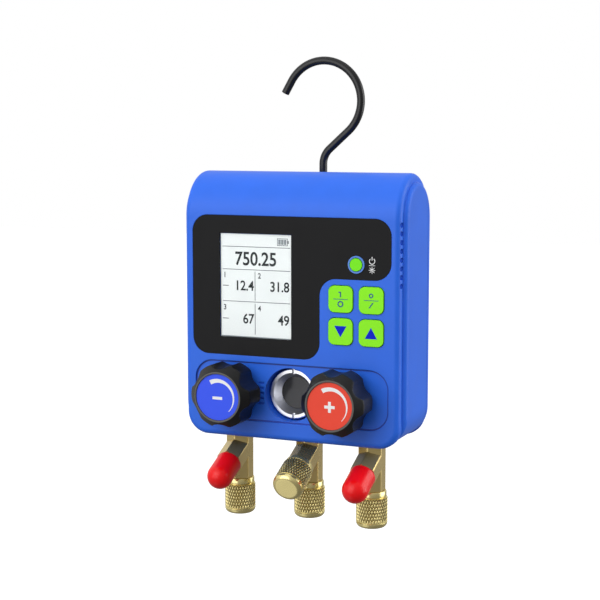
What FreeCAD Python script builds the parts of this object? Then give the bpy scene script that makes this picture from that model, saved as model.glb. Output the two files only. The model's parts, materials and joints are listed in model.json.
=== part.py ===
import FreeCAD, Part
import math
import os
import Sketcher
from FreeCAD import Placement, Rotation, Vector

# Digital manifold gauge for refrigeration work, in millimetres.
# Origin: on the swivel axis of the hook, at the point where the hook hangs, in the plane of the
# case's back. +X to the right as seen from the front, +Y to the back, +Z up.

DIMENSIONS = [
    ("hook_rod_d", 4.0, "diameter of the hook's rod"),
    ("hook_bend_r", 20.1, "centre line radius of the large bend"),
    ("hook_root_bend_r", 10.0, "centre line radius of the bend over the case"),
    ("hook_slant", 48.4, "slant of the straight run, degrees from the vertical"),
    ("hook_wrap", 150.0, "end of the large bend, degrees from +X"),
    ("hook_tip", 6.9, "straight length at the tip"),
    ("hook_reach", 52.8, "from the hanging point down to the top of the case"),
    ("hook_fit", 0.08, "radial clearance of the hook in its boss"),
    ("clip_r", 4.2, "radius of the retaining ring and washer"),
    ("clip_thick", 0.8, "thickness of the retaining ring and washer"),
    ("front_corner_r", 11.0, "radius of the front body's bottom corners"),
    ("panel_corner_r", 15.0, "radius of the side panels' bottom corners"),
    ("panel_rise", 0.5, "how far the side panels end above the bottom"),
    ("front_inset", 2.3, "how far the front body stands in from the side panels"),
    ("step_depth", 4.2, "from the front, top and back faces in to the side panels"),
    ("rim_depth", 5.0, "depth of the front body's rim, and of the back's"),
    ("front_edge_r", 2.8, "rounding of the front body's edge"),
    ("rim_edge_r", 2.4, "rounding of the side panels' edges"),
    ("back_edge_r", 3.6, "rounding of the back's edge"),
    ("wall", 2.2, "wall of the shells"),
    ("rear_depth", 9.1, "from the back up to the seam of the shells"),
    ("seam", 0.25, "gap of the seam"),
    ("vent_r", 1.2, "radius of a blind vent hole"),
    ("vent_pitch", 4.1, "pitch of the vent holes"),
    ("vent_drop", 1.9, "from the foot of the round top to the first vent"),
    ("vent_side", 1.0, "from the front body's side in to a vent's bottom"),
    ("vent_deep", 3.4, "from the front face back to a vent's bottom"),
    ("vent_count", 8, "number of vents on each side"),
    ("fascia_inset", 4.28, "from the front body's side to the black fascia"),
    ("fascia_rise", 0.8, "from the foot of the round top up to the fascia's top"),
    ("fascia_corner_r", 8.3, "corner radius of the fascia"),
    ("fascia_thick", 1.0, "thickness of the fascia"),
    ("fascia_step", 29.0, "height of the fascia's upper right part"),
    ("fit_gap", 0.1, "gap round pieces that are let in"),
    ("part_gap", 0.4, "least room between separate pieces inside the case"),
    ("window_width", 38.0, "width of the display window"),
    ("window_height", 50.8, "height of the display window"),
    ("window_side", 14.76, "from the fascia's left edge to the window"),
    ("window_top", 8.9, "from the fascia's top to the window"),
    ("window_bottom", 9.0, "from the window to the fascia's bottom"),
    ("window_to_keys", 19.7, "from the window to the keys"),
    ("window_ledge", 1.1, "ledge that carries the window"),
    ("power_rise", 7.2, "from the fascia's step up to the power button"),
    ("power_r", 3.05, "radius of the power button"),
    ("power_ring_r", 4.2, "radius of the ring round the power button"),
    ("power_proud", 0.7, "how far the power button stands out"),
    ("key_width", 12.35, "width of a key"),
    ("key_height", 12.75, "height of a key"),
    ("key_corner_r", 3.0, "corner radius of a key"),
    ("key_side", 3.58, "from the keys to the fascia's right edge"),
    ("key_step", 4.83, "from the fascia's lower part across to the keys"),
    ("key_top", 3.1, "from the fascia's step down to the keys"),
    ("key_pitch_x", 15.47, "pitch of the keys across"),
    ("key_pitch_z", 15.56, "pitch of the keys down"),
    ("key_proud", 0.6, "how far a key stands out"),
    ("key_gap", 0.3, "gap round a key"),
    ("key_travel", 0.8, "travel of the buttons"),
    ("skirt", 1.0, "thickness and overhang of a button's skirt"),
    ("post_side", 3.2, "side of a button's post"),
    ("switch_side", 6.2, "side of a tact switch"),
    ("switch_thick", 1.6, "thickness of a tact switch"),
    ("plunger_r", 1.6, "radius of a tact switch's plunger"),
    ("plunger_height", 0.2, "height of a pressed plunger"),
    ("recess_inset", 5.3, "from the front body's side to the recess behind the knobs"),
    ("recess_height", 29.3, "height of the recess behind the knobs"),
    ("recess_gap", 3.1, "from the fascia down to the recess"),
    ("recess_bottom", 8.8, "from the recess down to the case's bottom"),
    ("recess_corner_r", 9.5, "corner radius of the recess"),
    ("recess_deep", 0.8, "depth of the recess"),
    ("valve_x", 29.05, "valve axis from the middle"),
    ("sight_fall", 0.55, "how far the sight glass lies below the valve axes"),
    ("sight_hole_r", 13.3, "radius of the opening round the sight glass, at the front"),
    ("sight_bezel_r", 12.4, "radius of the sight glass bezel"),
    ("sight_bezel_deep", 4.7, "from the front face back to the bezel"),
    ("sight_dish_r", 10.4, "radius of the bezel's dish at its rim"),
    ("sight_dish", 4.6, "depth of the bezel's dish, down to the glass"),
    ("sight_flange", 3.0, "thickness of the bezel's flange"),
    ("sight_slot", 1.2, "width and depth of the spanner slots in the bezel"),
    ("sight_collar", 1.5, "wall of the shell's collar round the sight glass"),
    ("sight_glass_r", 7.9, "radius of the sight glass"),
    ("sight_glass_thick", 3.0, "thickness of the sight glass"),
    ("sight_neck_r", 9.5, "radius of the bezel's thread"),
    ("seal_thick", 1.1, "thickness of the sight glass seal"),
    ("tick_length", 3.0, "length of a slot beside the sight glass"),
    ("tick_height", 1.0, "height of a slot beside the sight glass"),
    ("tick_pitch", 2.5, "pitch of the slots beside the sight glass"),
    ("tick_x", 15.4, "middle of the slots beside the sight glass"),
    ("block_rise", 9.0, "from the valve axes up to the manifold block's top"),
    ("block_fall", 13.0, "from the valve axes down to the manifold block's bottom"),
    ("block_wall", 0.6, "wall of the manifold block beside the ports' O-rings"),
    ("block_deep", 12.5, "from the front face back to the manifold block"),
    ("block_room", 9.6, "from the manifold block to the case's back"),
    ("gallery_r", 2.0, "radius of the drilled passages"),
    ("stem_r", 3.0, "radius of the valve stem"),
    ("running_fit", 0.05, "radial clearance of turning pieces"),
    ("stem_ring_r", 0.45, "section radius of the stem's O-rings"),
    ("ring_first", 6.5, "from the block's front out to the first O-ring"),
    ("ring_pitch", 3.0, "distance between the stem's O-rings"),
    ("pin_r", 1.5, "radius of the stem's pin in the seat disc"),
    ("pin_start", 1.0, "from the valve's seat to the stem's pin"),
    ("seat_r", 4.0, "radius of the valve's seat disc"),
    ("seat_thick", 2.3, "thickness of the valve's seat disc"),
    ("valve_deep", 8.9, "depth of the valve bore in the block"),
    ("chamber_r", 4.3, "radius of the valve's chamber"),
    ("bonnet_r", 6.0, "radius of the packing nut's thread"),
    ("bonnet_thread", 2.8, "length of the packing nut's thread"),
    ("bonnet_neck_r", 6.2, "radius of the packing nut's neck"),
    ("bonnet_flats", 14.0, "width across flats of the packing nut"),
    ("bonnet_hex", 4.5, "length of the packing nut's hexagon"),
    ("bonnet_proud", 3.0, "how far the packing nut stands out of the front face"),
    ("knob_r", 15.8, "radius of the knob's lobes"),
    ("knob_rim_r", 12.3, "radius of the knob's front rim"),
    ("knob_length", 16.6, "length of the knob"),
    ("knob_gap", 4.0, "from the front face to the knob"),
    ("knob_shoulder", 4.0, "length of the knob's sloping front"),
    ("knob_hub_r", 6.0, "radius of the knob's hub"),
    ("knob_cavity_r", 11.8, "radius of the hollow behind the knob"),
    ("knob_web", 4.6, "thickness of the knob's web"),
    ("knob_edge", 1.0, "bevel of the knob's back edge, and setback of its hub"),
    ("knob_screw_web", 1.0, "thickness of the knob under its screw"),
    ("knob_notch_r", 7.2, "radius of the scallops between the lobes"),
    ("knob_notch_deep", 2.3, "depth of the scallops between the lobes"),
    ("knob_lobe_edge_r", 1.8, "rounding of the lobes' edges"),
    ("disc_r", 11.27, "radius of the coloured disc"),
    ("disc_thick", 1.0, "thickness of the coloured disc"),
    ("disc_deep", 0.45, "how far the disc lies behind the rim"),
    ("screw_head_r", 3.0, "radius of the knob screw's head"),
    ("screw_head", 1.8, "height of the knob screw's head"),
    ("screw_r", 1.5, "radius of the knob screw"),
    ("screw_length", 7.0, "length of the knob screw in the stem"),
    ("port_offset", 6.81, "from a valve's axis out to its port"),
    ("port_deep", 19.4, "from the front face back to the outer ports' axes"),
    ("centre_port_deep", 25.6, "from the front face back to the middle port's axis"),
    ("hex_flats", 12.0, "width across flats of the port fittings"),
    ("hex_drop", 24.7, "from the case's bottom to the end of the hexagon"),
    ("hex_neck_r", 6.0, "radius of the fitting's thread in the block"),
    ("hex_neck", 6.0, "length of the fitting's thread in the block"),
    ("hex_hole_r", 7.4, "radius of the hole for a fitting in the case"),
    ("branch_drop", 8.8, "from the case's bottom to the branch point"),
    ("branch_angle", 65.0, "angle of the side port, degrees from straight down"),
    ("branch_length", 14.2, "from the main axis to the end of the side port's hexagon"),
    ("thread_r", 5.55, "radius of a hose thread"),
    ("thread_length", 10.6, "length of a hose thread"),
    ("flare_length", 1.7, "length of a port's sealing cone"),
    ("flare_tip_r", 3.6, "radius of the cone's tip"),
    ("seal_ring_r", 0.8, "section radius of the fitting's O-ring"),
    ("cap_gap", 0.3, "clearance of the brass caps"),
    ("cap_length", 18.5, "length of a brass cap"),
    ("cap_r", 7.8, "radius of a brass cap"),
    ("cap_collar_r", 7.25, "radius of a brass cap's plain collar"),
    ("cap_collar", 2.8, "length of a brass cap's plain collar"),
    ("cap_groove", 0.5, "width and depth of the groove beside the collar"),
    ("cap_round", 2.0, "rounding of a brass cap's end"),
    ("gasket_thick", 1.6, "thickness of a cap's gasket"),
    ("vinyl_r", 6.45, "radius of a vinyl cap"),
    ("vinyl_length", 17.8, "length of a vinyl cap"),
    ("vinyl_fit", 0.08, "radial clearance of a vinyl cap on the thread"),
    ("sensor_offset", 13.05, "from a valve's axis in to its pressure sensor"),
    ("sensor_deep", 19.2, "from the front face back to the sensors' axes"),
    ("sensor_r", 5.0, "radius of a pressure sensor's can"),
    ("sensor_length", 11.0, "length of a pressure sensor's can"),
    ("sensor_hex", 4.0, "length of a pressure sensor's hexagon"),
    ("sensor_flats", 10.0, "width across flats of a pressure sensor"),
    ("sensor_thread_r", 3.8, "radius of a pressure sensor's thread"),
    ("sensor_thread", 6.0, "length of a pressure sensor's thread"),
    ("board_rise", 9.7, "from the foot of the round top up to the circuit board's top"),
    ("board_low", 2.4, "from the fascia's bottom down to the circuit board's bottom"),
    ("board_thick", 1.6, "thickness of the circuit board"),
    ("board_deep", 8.0, "from the front face back to the board"),
    ("board_screw_side", 3.5, "board screws from the board's sides"),
    ("board_screw_edge", 4.0, "board screws from the board's top and bottom"),
    ("display_margin", 2.0, "how far the display is larger than its window"),
    ("display_thick", 2.8, "thickness of the display"),
    ("small_screw_r", 1.2, "radius of a board screw"),
    ("small_head_r", 2.2, "radius of a board screw's head"),
    ("small_head", 1.4, "height of a board screw's head"),
    ("small_screw", 4.5, "length of a board screw below its head"),
    ("case_screw_side", 8.55, "case screws from the case's sides"),
    ("case_screw_drop", 5.3, "from the foot of the round top to the upper case screws"),
    ("case_screw_low", 14.5, "from the case's bottom up to the lower case screws"),
    ("case_screw_r", 1.5, "radius of a case screw"),
    ("case_screw", 13.0, "length of a case screw below its head"),
    ("case_head_r", 2.8, "radius of a case screw's head"),
    ("case_head", 2.0, "height of a case screw's head"),
    ("boss_r", 3.6, "radius of a screw boss"),
    ("block_screw_side", 3.75, "block screws from the block's ends"),
    ("block_screw_drop", 3.2, "block screws from the block's top"),
    ("block_screw", 8.0, "length of a block screw in its boss"),
    ("cell_r", 7.1, "radius of a cell"),
    ("cell_length", 50.0, "length of a cell"),
    ("cell_gap", 0.4, "room between the cells"),
    ("cell_count", 4, "number of cells"),
    ("cell_nub_r", 2.7, "radius of a cell's pole"),
    ("cell_nub", 1.2, "height of a cell's pole"),
    ("contact_gap", 3.0, "room for a contact at each end of a cell"),
    ("contact_thick", 0.5, "thickness of a contact leaf"),
    ("door_drop", 2.4, "from the retaining ring's pocket down to the battery door"),
    ("tray_wall", 1.5, "wall of the battery tray"),
    ("door_thick", 2.0, "thickness of the battery door"),
    ("door_lip", 2.0, "how far the battery door overlaps its bay"),
    ("door_gap", 0.3, "gap round the battery door"),
    ("door_swing", 0.3, "extra room under the battery door, where its lower edge swings"),
    ("tab_x", 18.0, "battery door's tabs from the middle"),
    ("tab_width", 8.0, "width of a tab of the battery door"),
    ("tab_r", 0.9, "radius of a tab's rounded end, about which the door tilts"),
    ("tab_drop", 1.5, "from the door's lower edge to the tilting axis"),
    ("boss_width", 15.0, "width of the hanger boss"),
    ("boss_proud", 4.8, "how far the hanger boss stands out of the back"),
    ("boss_top_drop", 5.5, "from the top of the case to the hanger boss"),
    ("boss_height", 19.0, "height of the hanger boss"),
    ("clip_room", 6.6, "height of the pocket for the retaining ring"),
    ("clip_groove", 0.4, "depth of the hook's groove for the retaining ring"),
]


class Size:
    """A number together with the sheet expression that gives it."""

    def __init__(self, number, text):
        self.number = float(number)
        self.text = text

    def __add__(self, other):
        other = size(other)
        return Size(self.number + other.number, f"({self.text} + {other.text})")

    def __radd__(self, other):
        return size(other) + self

    def __sub__(self, other):
        other = size(other)
        return Size(self.number - other.number, f"({self.text} - {other.text})")

    def __rsub__(self, other):
        return size(other) - self

    def __mul__(self, other):
        other = size(other)
        return Size(self.number * other.number, f"({self.text} * {other.text})")

    def __rmul__(self, other):
        return size(other) * self

    def __truediv__(self, other):
        other = size(other)
        return Size(self.number / other.number, f"({self.text} / {other.text})")

    def __neg__(self):
        return Size(-self.number, f"(0 - {self.text})")


def size(value):
    return value if isinstance(value, Size) else Size(value, repr(float(value)))


def root(value):
    return Size(math.sqrt(value.number), f"sqrt({value.text})")


def larger(a, b):
    return Size(max(a.number, b.number), f"max({a.text}; {b.text})")


def smaller(a, b):
    return Size(min(a.number, b.number), f"min({a.text}; {b.text})")


def sine(angle):
    return Size(math.sin(math.radians(angle.number)), f"sin({angle.text} * 1 deg)")


def cosine(angle):
    return Size(math.cos(math.radians(angle.number)), f"cos({angle.text} * 1 deg)")


def tangent(angle):
    return Size(math.tan(math.radians(angle.number)), f"tan({angle.text} * 1 deg)")


class Dimensions:
    """The driving dimensions, kept in the document's sheet."""

    def __init__(self, document, table):
        sheet = document.addObject("Spreadsheet::Sheet", "Sheet")
        for row, (alias, value, note) in enumerate(table, start=1):
            sheet.set(f"A{row}", alias.replace("_", " "))
            sheet.set(f"B{row}", str(value))
            sheet.setAlias(f"B{row}", alias)
            sheet.set(f"C{row}", note)
            setattr(self, alias, Size(value, f"Sheet.{alias}"))


doc = FreeCAD.newDocument("ManifoldGauge")
D = Dimensions(doc, DIMENSIONS)
doc.recompute()

# The main planes, worked out from the sheet. The case is as wide, deep and high as its contents ask.
PORT_ROOM = D.hex_neck_r + D.seal_ring_r * 2 + D.block_wall
PORT_X = D.valve_x + D.port_offset
SENSOR_X = D.valve_x - D.sensor_offset
BLOCK_HALF = PORT_X + PORT_ROOM
KEYS_WIDTH = D.key_width + D.key_pitch_x
FASCIA_WIDTH = D.window_side + D.window_width + D.window_to_keys + KEYS_WIDTH + D.key_side
FASCIA_HALF = FASCIA_WIDTH / 2
SCREW_ROOM = D.case_screw_side + D.boss_r + D.part_gap
FRONT_HALF = larger(FASCIA_HALF + D.fascia_inset, BLOCK_HALF + SCREW_ROOM - D.front_inset)
HALF = FRONT_HALF + D.front_inset
CAVITY_HALF = FRONT_HALF - D.wall
CASE_SCREW_X = HALF - D.case_screw_side
BOARD_HALF = HALF - SCREW_ROOM

BACK = size(0)
BLOCK_BACK = BACK - D.block_room
FRONT = BLOCK_BACK - PORT_ROOM - D.centre_port_deep
BLOCK_FRONT = FRONT + D.block_deep
BOARD_FRONT = FRONT + D.board_deep
SWITCH_FRONT = BOARD_FRONT - D.switch_thick
POST_END = SWITCH_FRONT - D.plunger_height - D.key_travel - D.fit_gap
PARTING = BACK - D.rear_depth
REAR_START = PARTING + D.seam
ARCH_R = (BACK - FRONT) / 2
ARCH_Y = -ARCH_R
PANEL_ARCH_R = ARCH_R - D.step_depth
CELL_PITCH = D.cell_r * 2 + D.cell_gap
TRAY_HALF = D.cell_length / 2 + D.cell_nub + D.contact_gap
TRAY_Y = BACK - D.door_thick - CELL_PITCH
TAB_Y = BACK - D.door_thick / 2

TOP = -D.hook_reach
ARCH_Z = TOP - ARCH_R
FASCIA_TOP = ARCH_Z + D.fascia_rise
WINDOW_TOP = FASCIA_TOP - D.window_top
WINDOW_Z = WINDOW_TOP - D.window_height / 2
FASCIA_BOTTOM = WINDOW_TOP - D.window_height - D.window_bottom
STEP_Z = FASCIA_TOP - D.fascia_step
POWER_Z = STEP_Z + D.power_rise
KEY_Z = STEP_Z - D.key_top - (D.key_height + D.key_pitch_z) / 2
BOSS_TOP = TOP - D.boss_top_drop
BOSS_BOTTOM = BOSS_TOP - D.boss_height
DOOR_HIGH = BOSS_BOTTOM - D.clip_room - D.door_drop
TRAY_TOP = DOOR_HIGH - D.door_lip
TRAY_BOTTOM = TRAY_TOP - CELL_PITCH * D.cell_count
DOOR_LOW = TRAY_BOTTOM - D.door_lip
TAB_Z = DOOR_LOW - D.tab_drop
BLOCK_LIMIT = TRAY_BOTTOM - D.tray_wall - D.part_gap
RECESS_LIMIT = BLOCK_LIMIT - D.block_rise + D.recess_height / 2
RECESS_TOP = smaller(FASCIA_BOTTOM - D.recess_gap, RECESS_LIMIT)
VALVE_Z = RECESS_TOP - D.recess_height / 2
SIGHT_Z = VALVE_Z - D.sight_fall
BLOCK_TOP = VALVE_Z + D.block_rise
BLOCK_BOTTOM = VALVE_Z - D.block_fall
BOARD_TOP = ARCH_Z + D.board_rise
BOARD_BOTTOM = FASCIA_BOTTOM - D.board_low
RECESS_BOTTOM = RECESS_TOP - D.recess_height
BOTTOM = RECESS_BOTTOM - D.recess_bottom
PANEL_BOTTOM = BOTTOM + D.panel_rise
CAVITY_BOTTOM = PANEL_BOTTOM + D.wall
BRANCH_Z = BOTTOM - D.branch_drop
HEX_END = BOTTOM - D.hex_drop

WINDOW_X = D.window_side + D.window_width / 2 - FASCIA_HALF
KEY_X = FASCIA_HALF - D.key_side - KEYS_WIDTH / 2
STEP_X = FASCIA_HALF - D.key_side - KEYS_WIDTH - D.key_step

AXIS_TURN = {
    "x": Rotation(Vector(0, 1, 0), 90),
    "y": Rotation(Vector(1, 0, 0), -90),
    "z": Rotation(),
}
OUT_OF_FRONT = Rotation(Vector(1, 0, 0), 90)
pieces = []


def bind(item, prop, value):
    item.setExpression(prop, size(value).text)


def put(item, x, y, z, turn=Rotation()):
    item.Placement = Placement(Vector(size(x).number, size(y).number, size(z).number), turn)
    bind(item, "Placement.Base.x", x)
    bind(item, "Placement.Base.y", y)
    bind(item, "Placement.Base.z", z)
    return item


def box(name, x, y, z):
    """Box between a low and a high value on each axis."""
    item = doc.addObject("Part::Box", name)
    for prop, (low, high) in zip(("Length", "Width", "Height"), (x, y, z)):
        bind(item, prop, size(high) - low)
    return put(item, x[0], y[0], z[0])


def along(axis, at, start):
    spots = {"x": (start, at[0], at[1]), "y": (at[0], start, at[1]), "z": (at[0], at[1], start)}
    return spots[axis]


def cylinder(name, radius, axis, at, start, end):
    item = doc.addObject("Part::Cylinder", name)
    bind(item, "Radius", radius)
    bind(item, "Height", size(end) - start)
    return put(item, *along(axis, at, start), AXIS_TURN[axis])


def hexagon(name, flats, axis, at, start, end, corner_up=False):
    """Hexagonal bar; its corners lie on the first cross axis, or on the second."""
    item = doc.addObject("Part::Prism", name)
    item.Polygon = 6
    bind(item, "Circumradius", size(flats) / math.sqrt(3))
    bind(item, "Height", size(end) - start)
    turn = AXIS_TURN[axis]
    if corner_up:
        turn = turn.multiply(Rotation(Vector(0, 0, 1), 30))
    return put(item, *along(axis, at, start), turn)


def fused(name, parts):
    item = doc.addObject("Part::MultiFuse", name)
    item.Shapes = parts
    item.Refine = True
    return item


def cut(name, base, tools):
    item = doc.addObject("Part::Cut", name)
    item.Base = base
    item.Tool = tools[0] if len(tools) == 1 else fused(name + "_tools", tools)
    item.Refine = True
    return item


def group(name, parts):
    """Several separate solids that share one node."""
    item = doc.addObject("Part::Compound", name)
    item.Links = parts
    return item


def piece(item, label):
    item.Label = label
    pieces.append(item)
    return item


def new_body(name):
    return doc.addObject("PartDesign::Body", name + "_body")


def new_sketch(body, name, role, offset=0):
    """Sketch on one of the body's own planes, moved along the plane's normal."""
    sketch = body.newObject("Sketcher::SketchObject", name)
    plane = [item for item in body.Origin.OriginFeatures if item.Role == role][0]
    sketch.AttachmentSupport = [(plane, "")]
    sketch.MapMode = "FlatFace"
    bind(sketch, "AttachmentOffset.Base.z", offset)
    return sketch


def front_sketch(body, name, y):
    """Sketch seen from the front, in the plane at y."""
    return new_sketch(body, name, "XZ_Plane", -size(y))


def side_sketch(body, name):
    return new_sketch(body, name, "YZ_Plane")


def fix_point(sketch, edge, spot, x, y):
    for kind, value in (("DistanceX", size(x)), ("DistanceY", size(y))):
        index = sketch.addConstraint(Sketcher.Constraint(kind, -1, 1, edge, spot, value.number))
        bind(sketch, f"Constraints[{index}]", value)


def outline(sketch, corners, closed=True):
    """Line through corners (x, y); a third item (cx, cy, turn) makes the edge that
    leaves the corner an arc about (cx, cy), turn 1 counter-clockwise and -1 clockwise."""
    count = len(corners)
    edges = []
    for index in range(count if closed else count - 1):
        start = corners[index]
        end = corners[(index + 1) % count]
        a = Vector(size(start[0]).number, size(start[1]).number, 0)
        b = Vector(size(end[0]).number, size(end[1]).number, 0)
        if len(start) == 2:
            edge = sketch.addGeometry(Part.LineSegment(a, b), False)
            edges.append((edge, 1, 2))
            continue
        cx, cy, turn = start[2]
        middle = Vector(size(cx).number, size(cy).number, 0)
        first, last = (a, b) if turn > 0 else (b, a)
        from_angle = math.atan2(first.y - middle.y, first.x - middle.x)
        to_angle = math.atan2(last.y - middle.y, last.x - middle.x)
        circle = Part.Circle(middle, Vector(0, 0, 1), first.distanceToPoint(middle))
        edge = sketch.addGeometry(Part.ArcOfCircle(circle, from_angle, to_angle), False)
        edges.append((edge, 1, 2) if turn > 0 else (edge, 2, 1))
    for index, (edge, _, last_spot) in enumerate(edges):
        if closed or index < len(edges) - 1:
            follower = edges[(index + 1) % len(edges)]
            constraint = Sketcher.Constraint("Coincident", edge, last_spot, follower[0], follower[1])
            sketch.addConstraint(constraint)
    for index, (edge, first_spot, _) in enumerate(edges):
        fix_point(sketch, edge, first_spot, corners[index][0], corners[index][1])
    if not closed:
        fix_point(sketch, edges[-1][0], edges[-1][2], corners[-1][0], corners[-1][1])
    for index, (edge, _, _) in enumerate(edges):
        if len(corners[index]) == 3:
            a = corners[index]
            b = corners[(index + 1) % count]
            wide = abs(size(b[0]).number - size(a[0]).number)
            tall = abs(size(b[1]).number - size(a[1]).number)
            kind, value = ("DistanceX", a[2][0]) if tall >= wide else ("DistanceY", a[2][1])
            value = size(value)
            index = sketch.addConstraint(Sketcher.Constraint(kind, -1, 1, edge, 3, value.number))
            bind(sketch, f"Constraints[{index}]", value)


def circle(sketch, x, y, radius):
    x, y, radius = size(x), size(y), size(radius)
    ring = Part.Circle(Vector(x.number, y.number, 0), Vector(0, 0, 1), radius.number)
    edge = sketch.addGeometry(ring, False)
    fix_point(sketch, edge, 3, x, y)
    index = sketch.addConstraint(Sketcher.Constraint("Radius", edge, radius.number))
    bind(sketch, f"Constraints[{index}]", radius)


def rectangle(sketch, x, z):
    outline(sketch, [(x[0], z[0]), (x[1], z[0]), (x[1], z[1]), (x[0], z[1])])


def rounded_rectangle(sketch, x, z, r):
    left, right = size(x[0]), size(x[1])
    low, high = size(z[0]), size(z[1])
    outline(sketch, [
        (left + r, low), (right - r, low, (right - r, low + r, 1)),
        (right, low + r), (right, high - r, (right - r, high - r, 1)),
        (right - r, high), (left + r, high, (left + r, high - r, 1)),
        (left, high - r), (left, low + r, (left + r, low + r, 1)),
    ])


def extrude(kind, body, sketch, length, reverse=False, both_ways=False):
    feature = body.newObject("PartDesign::" + kind, sketch.Name + "_" + kind.lower())
    feature.Profile = sketch
    bind(feature, "Length", length)
    feature.Reversed = reverse
    feature.SideType = "Symmetric" if both_ways else "One side"
    return feature


def pad(body, sketch, length, **way):
    return extrude("Pad", body, sketch, length, **way)


def pocket(body, sketch, length, **way):
    """Cut; a cut that takes nothing away is an error."""
    doc.recompute()
    before = body.Shape.Volume
    feature = extrude("Pocket", body, sketch, length, **way)
    doc.recompute()
    if not body.Shape.Volume < before:
        raise ValueError(f"{feature.Name} cuts nothing")
    return feature


def revolve(body, sketch):
    feature = body.newObject("PartDesign::Revolution", sketch.Name + "_turned")
    feature.Profile = sketch
    feature.ReferenceAxis = (sketch, ["V_Axis"])
    feature.Angle = 360
    return feature


def fillet(body, radius, wanted):
    """Round the edges of the body's last solid for which wanted(edge) is true."""
    doc.recompute()
    base = body.Tip
    names = [f"Edge{i}" for i, edge in enumerate(base.Shape.Edges, start=1) if wanted(edge)]
    if not names:
        raise ValueError(f"no edge to round on {body.Name}")
    feature = body.newObject("PartDesign::Fillet", f"{body.Name}_fillet")
    feature.Base = (base, names)
    bind(feature, "Radius", radius)
    doc.recompute()
    return feature


def near(a, b):
    return abs(a - size(b).number) < 0.01


def turned(name, profile, x, y, z, turn):
    """Piece of revolution about its own Z axis, set at x, y, z."""
    body = new_body(name)
    sketch = new_sketch(body, name + "_profile", "XZ_Plane")
    outline(sketch, profile)
    revolve(body, sketch)
    put(body, x, y, z, turn)
    return piece(body, name)


def u_outline(sketch, half, bottom, r):
    """The case's outline below its round top."""
    outline(sketch, [
        (-half, ARCH_Z), (-half, bottom + r, (-half + r, bottom + r, 1)),
        (-half + r, bottom), (half - r, bottom, (half - r, bottom + r, 1)),
        (half, bottom + r), (half, ARCH_Z),
    ])


def arch_height(r, y):
    return ARCH_Z + root(r * r - (y - ARCH_Y) * (y - ARCH_Y))


def front_arch(sketch, r):
    """The part of the round top that lies in front of the seam."""
    outline(sketch, [
        (ARCH_Y - r, ARCH_Z), (PARTING, ARCH_Z),
        (PARTING, arch_height(r, PARTING), (ARCH_Y, ARCH_Z, 1)),
    ])


def rear_arch(sketch, r, y):
    """The part of the round top that lies behind the seam."""
    outline(sketch, [
        (y, ARCH_Z), (ARCH_Y + r, ARCH_Z, (ARCH_Y, ARCH_Z, 1)), (y, arch_height(r, y)),
    ])


def on_outline(edge, half, bottom, y):
    """True for the edges of the case's outline in the plane at y, sides and corners."""
    bounds = edge.BoundBox
    if not (near(bounds.YMin, y) and near(bounds.YMax, y)):
        return False
    side = near(abs(bounds.XMin), half) or near(abs(bounds.XMax), half)
    return side or (near(bounds.ZMin, bottom) and near(bounds.ZMax, bottom))


def on_arch_side(edge, half, r):
    """True for the round top's edges in the side planes."""
    bounds = edge.BoundBox
    flat = near(abs(bounds.XMin), half) and near(abs(bounds.XMax), half)
    if not flat or bounds.ZMin < ARCH_Z.number - 0.01 or bounds.ZLength < 1:
        return False
    middle = edge.valueAt((edge.FirstParameter + edge.LastParameter) / 2)
    reach = math.hypot(middle.y - ARCH_Y.number, middle.z - ARCH_Z.number)
    return near(reach, r)


def fascia_outline(sketch, grow):
    """The fascia's stepped outline, larger by grow all round."""
    r = D.fascia_corner_r
    half = FASCIA_HALF + grow
    top = FASCIA_TOP + grow
    bottom = FASCIA_BOTTOM - grow
    step_x = STEP_X + grow
    step_z = STEP_Z - grow
    outline(sketch, [
        (-half + r, bottom), (step_x - r, bottom, (step_x - r, bottom + r, 1)),
        (step_x, bottom + r), (step_x, step_z - r, (step_x + r, step_z - r, -1)),
        (step_x + r, step_z), (half - r, step_z, (half - r, step_z + r, 1)),
        (half, step_z + r), (half, top - r, (half - r, top - r, 1)),
        (half - r, top), (-half + r, top, (-half + r, top - r, 1)),
        (-half, top - r), (-half, bottom + r, (-half + r, bottom + r, 1)),
    ])


def key_spots():
    """Middle of each key, by name."""
    left = KEY_X - D.key_pitch_x / 2
    right = KEY_X + D.key_pitch_x / 2
    upper = KEY_Z + D.key_pitch_z / 2
    lower = KEY_Z - D.key_pitch_z / 2
    return {
        "fn_key": (left, upper), "unit_key": (right, upper),
        "down_key": (left, lower), "up_key": (right, lower),
    }


def case_screw_spots():
    heights = (ARCH_Z - D.case_screw_drop, BOTTOM + D.case_screw_low)
    return [(side * CASE_SCREW_X, z) for side in (-1, 1) for z in heights]


def board_screw_spots():
    x = BOARD_HALF - D.board_screw_side
    heights = (BOARD_TOP - D.board_screw_edge, BOARD_BOTTOM + D.board_screw_edge)
    return [(side * x, z) for side in (-1, 1) for z in heights]


def block_screw_spots():
    x = BLOCK_HALF - D.block_screw_side
    return [(side * x, BLOCK_TOP - D.block_screw_drop) for side in (-1, 1)]


def port_spots():
    """Axis of each port fitting in plan, by name."""
    outer = FRONT + D.port_deep
    return {
        "low": (-PORT_X, outer),
        "centre": (size(0), FRONT + D.centre_port_deep),
        "high": (PORT_X, outer),
    }


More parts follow.
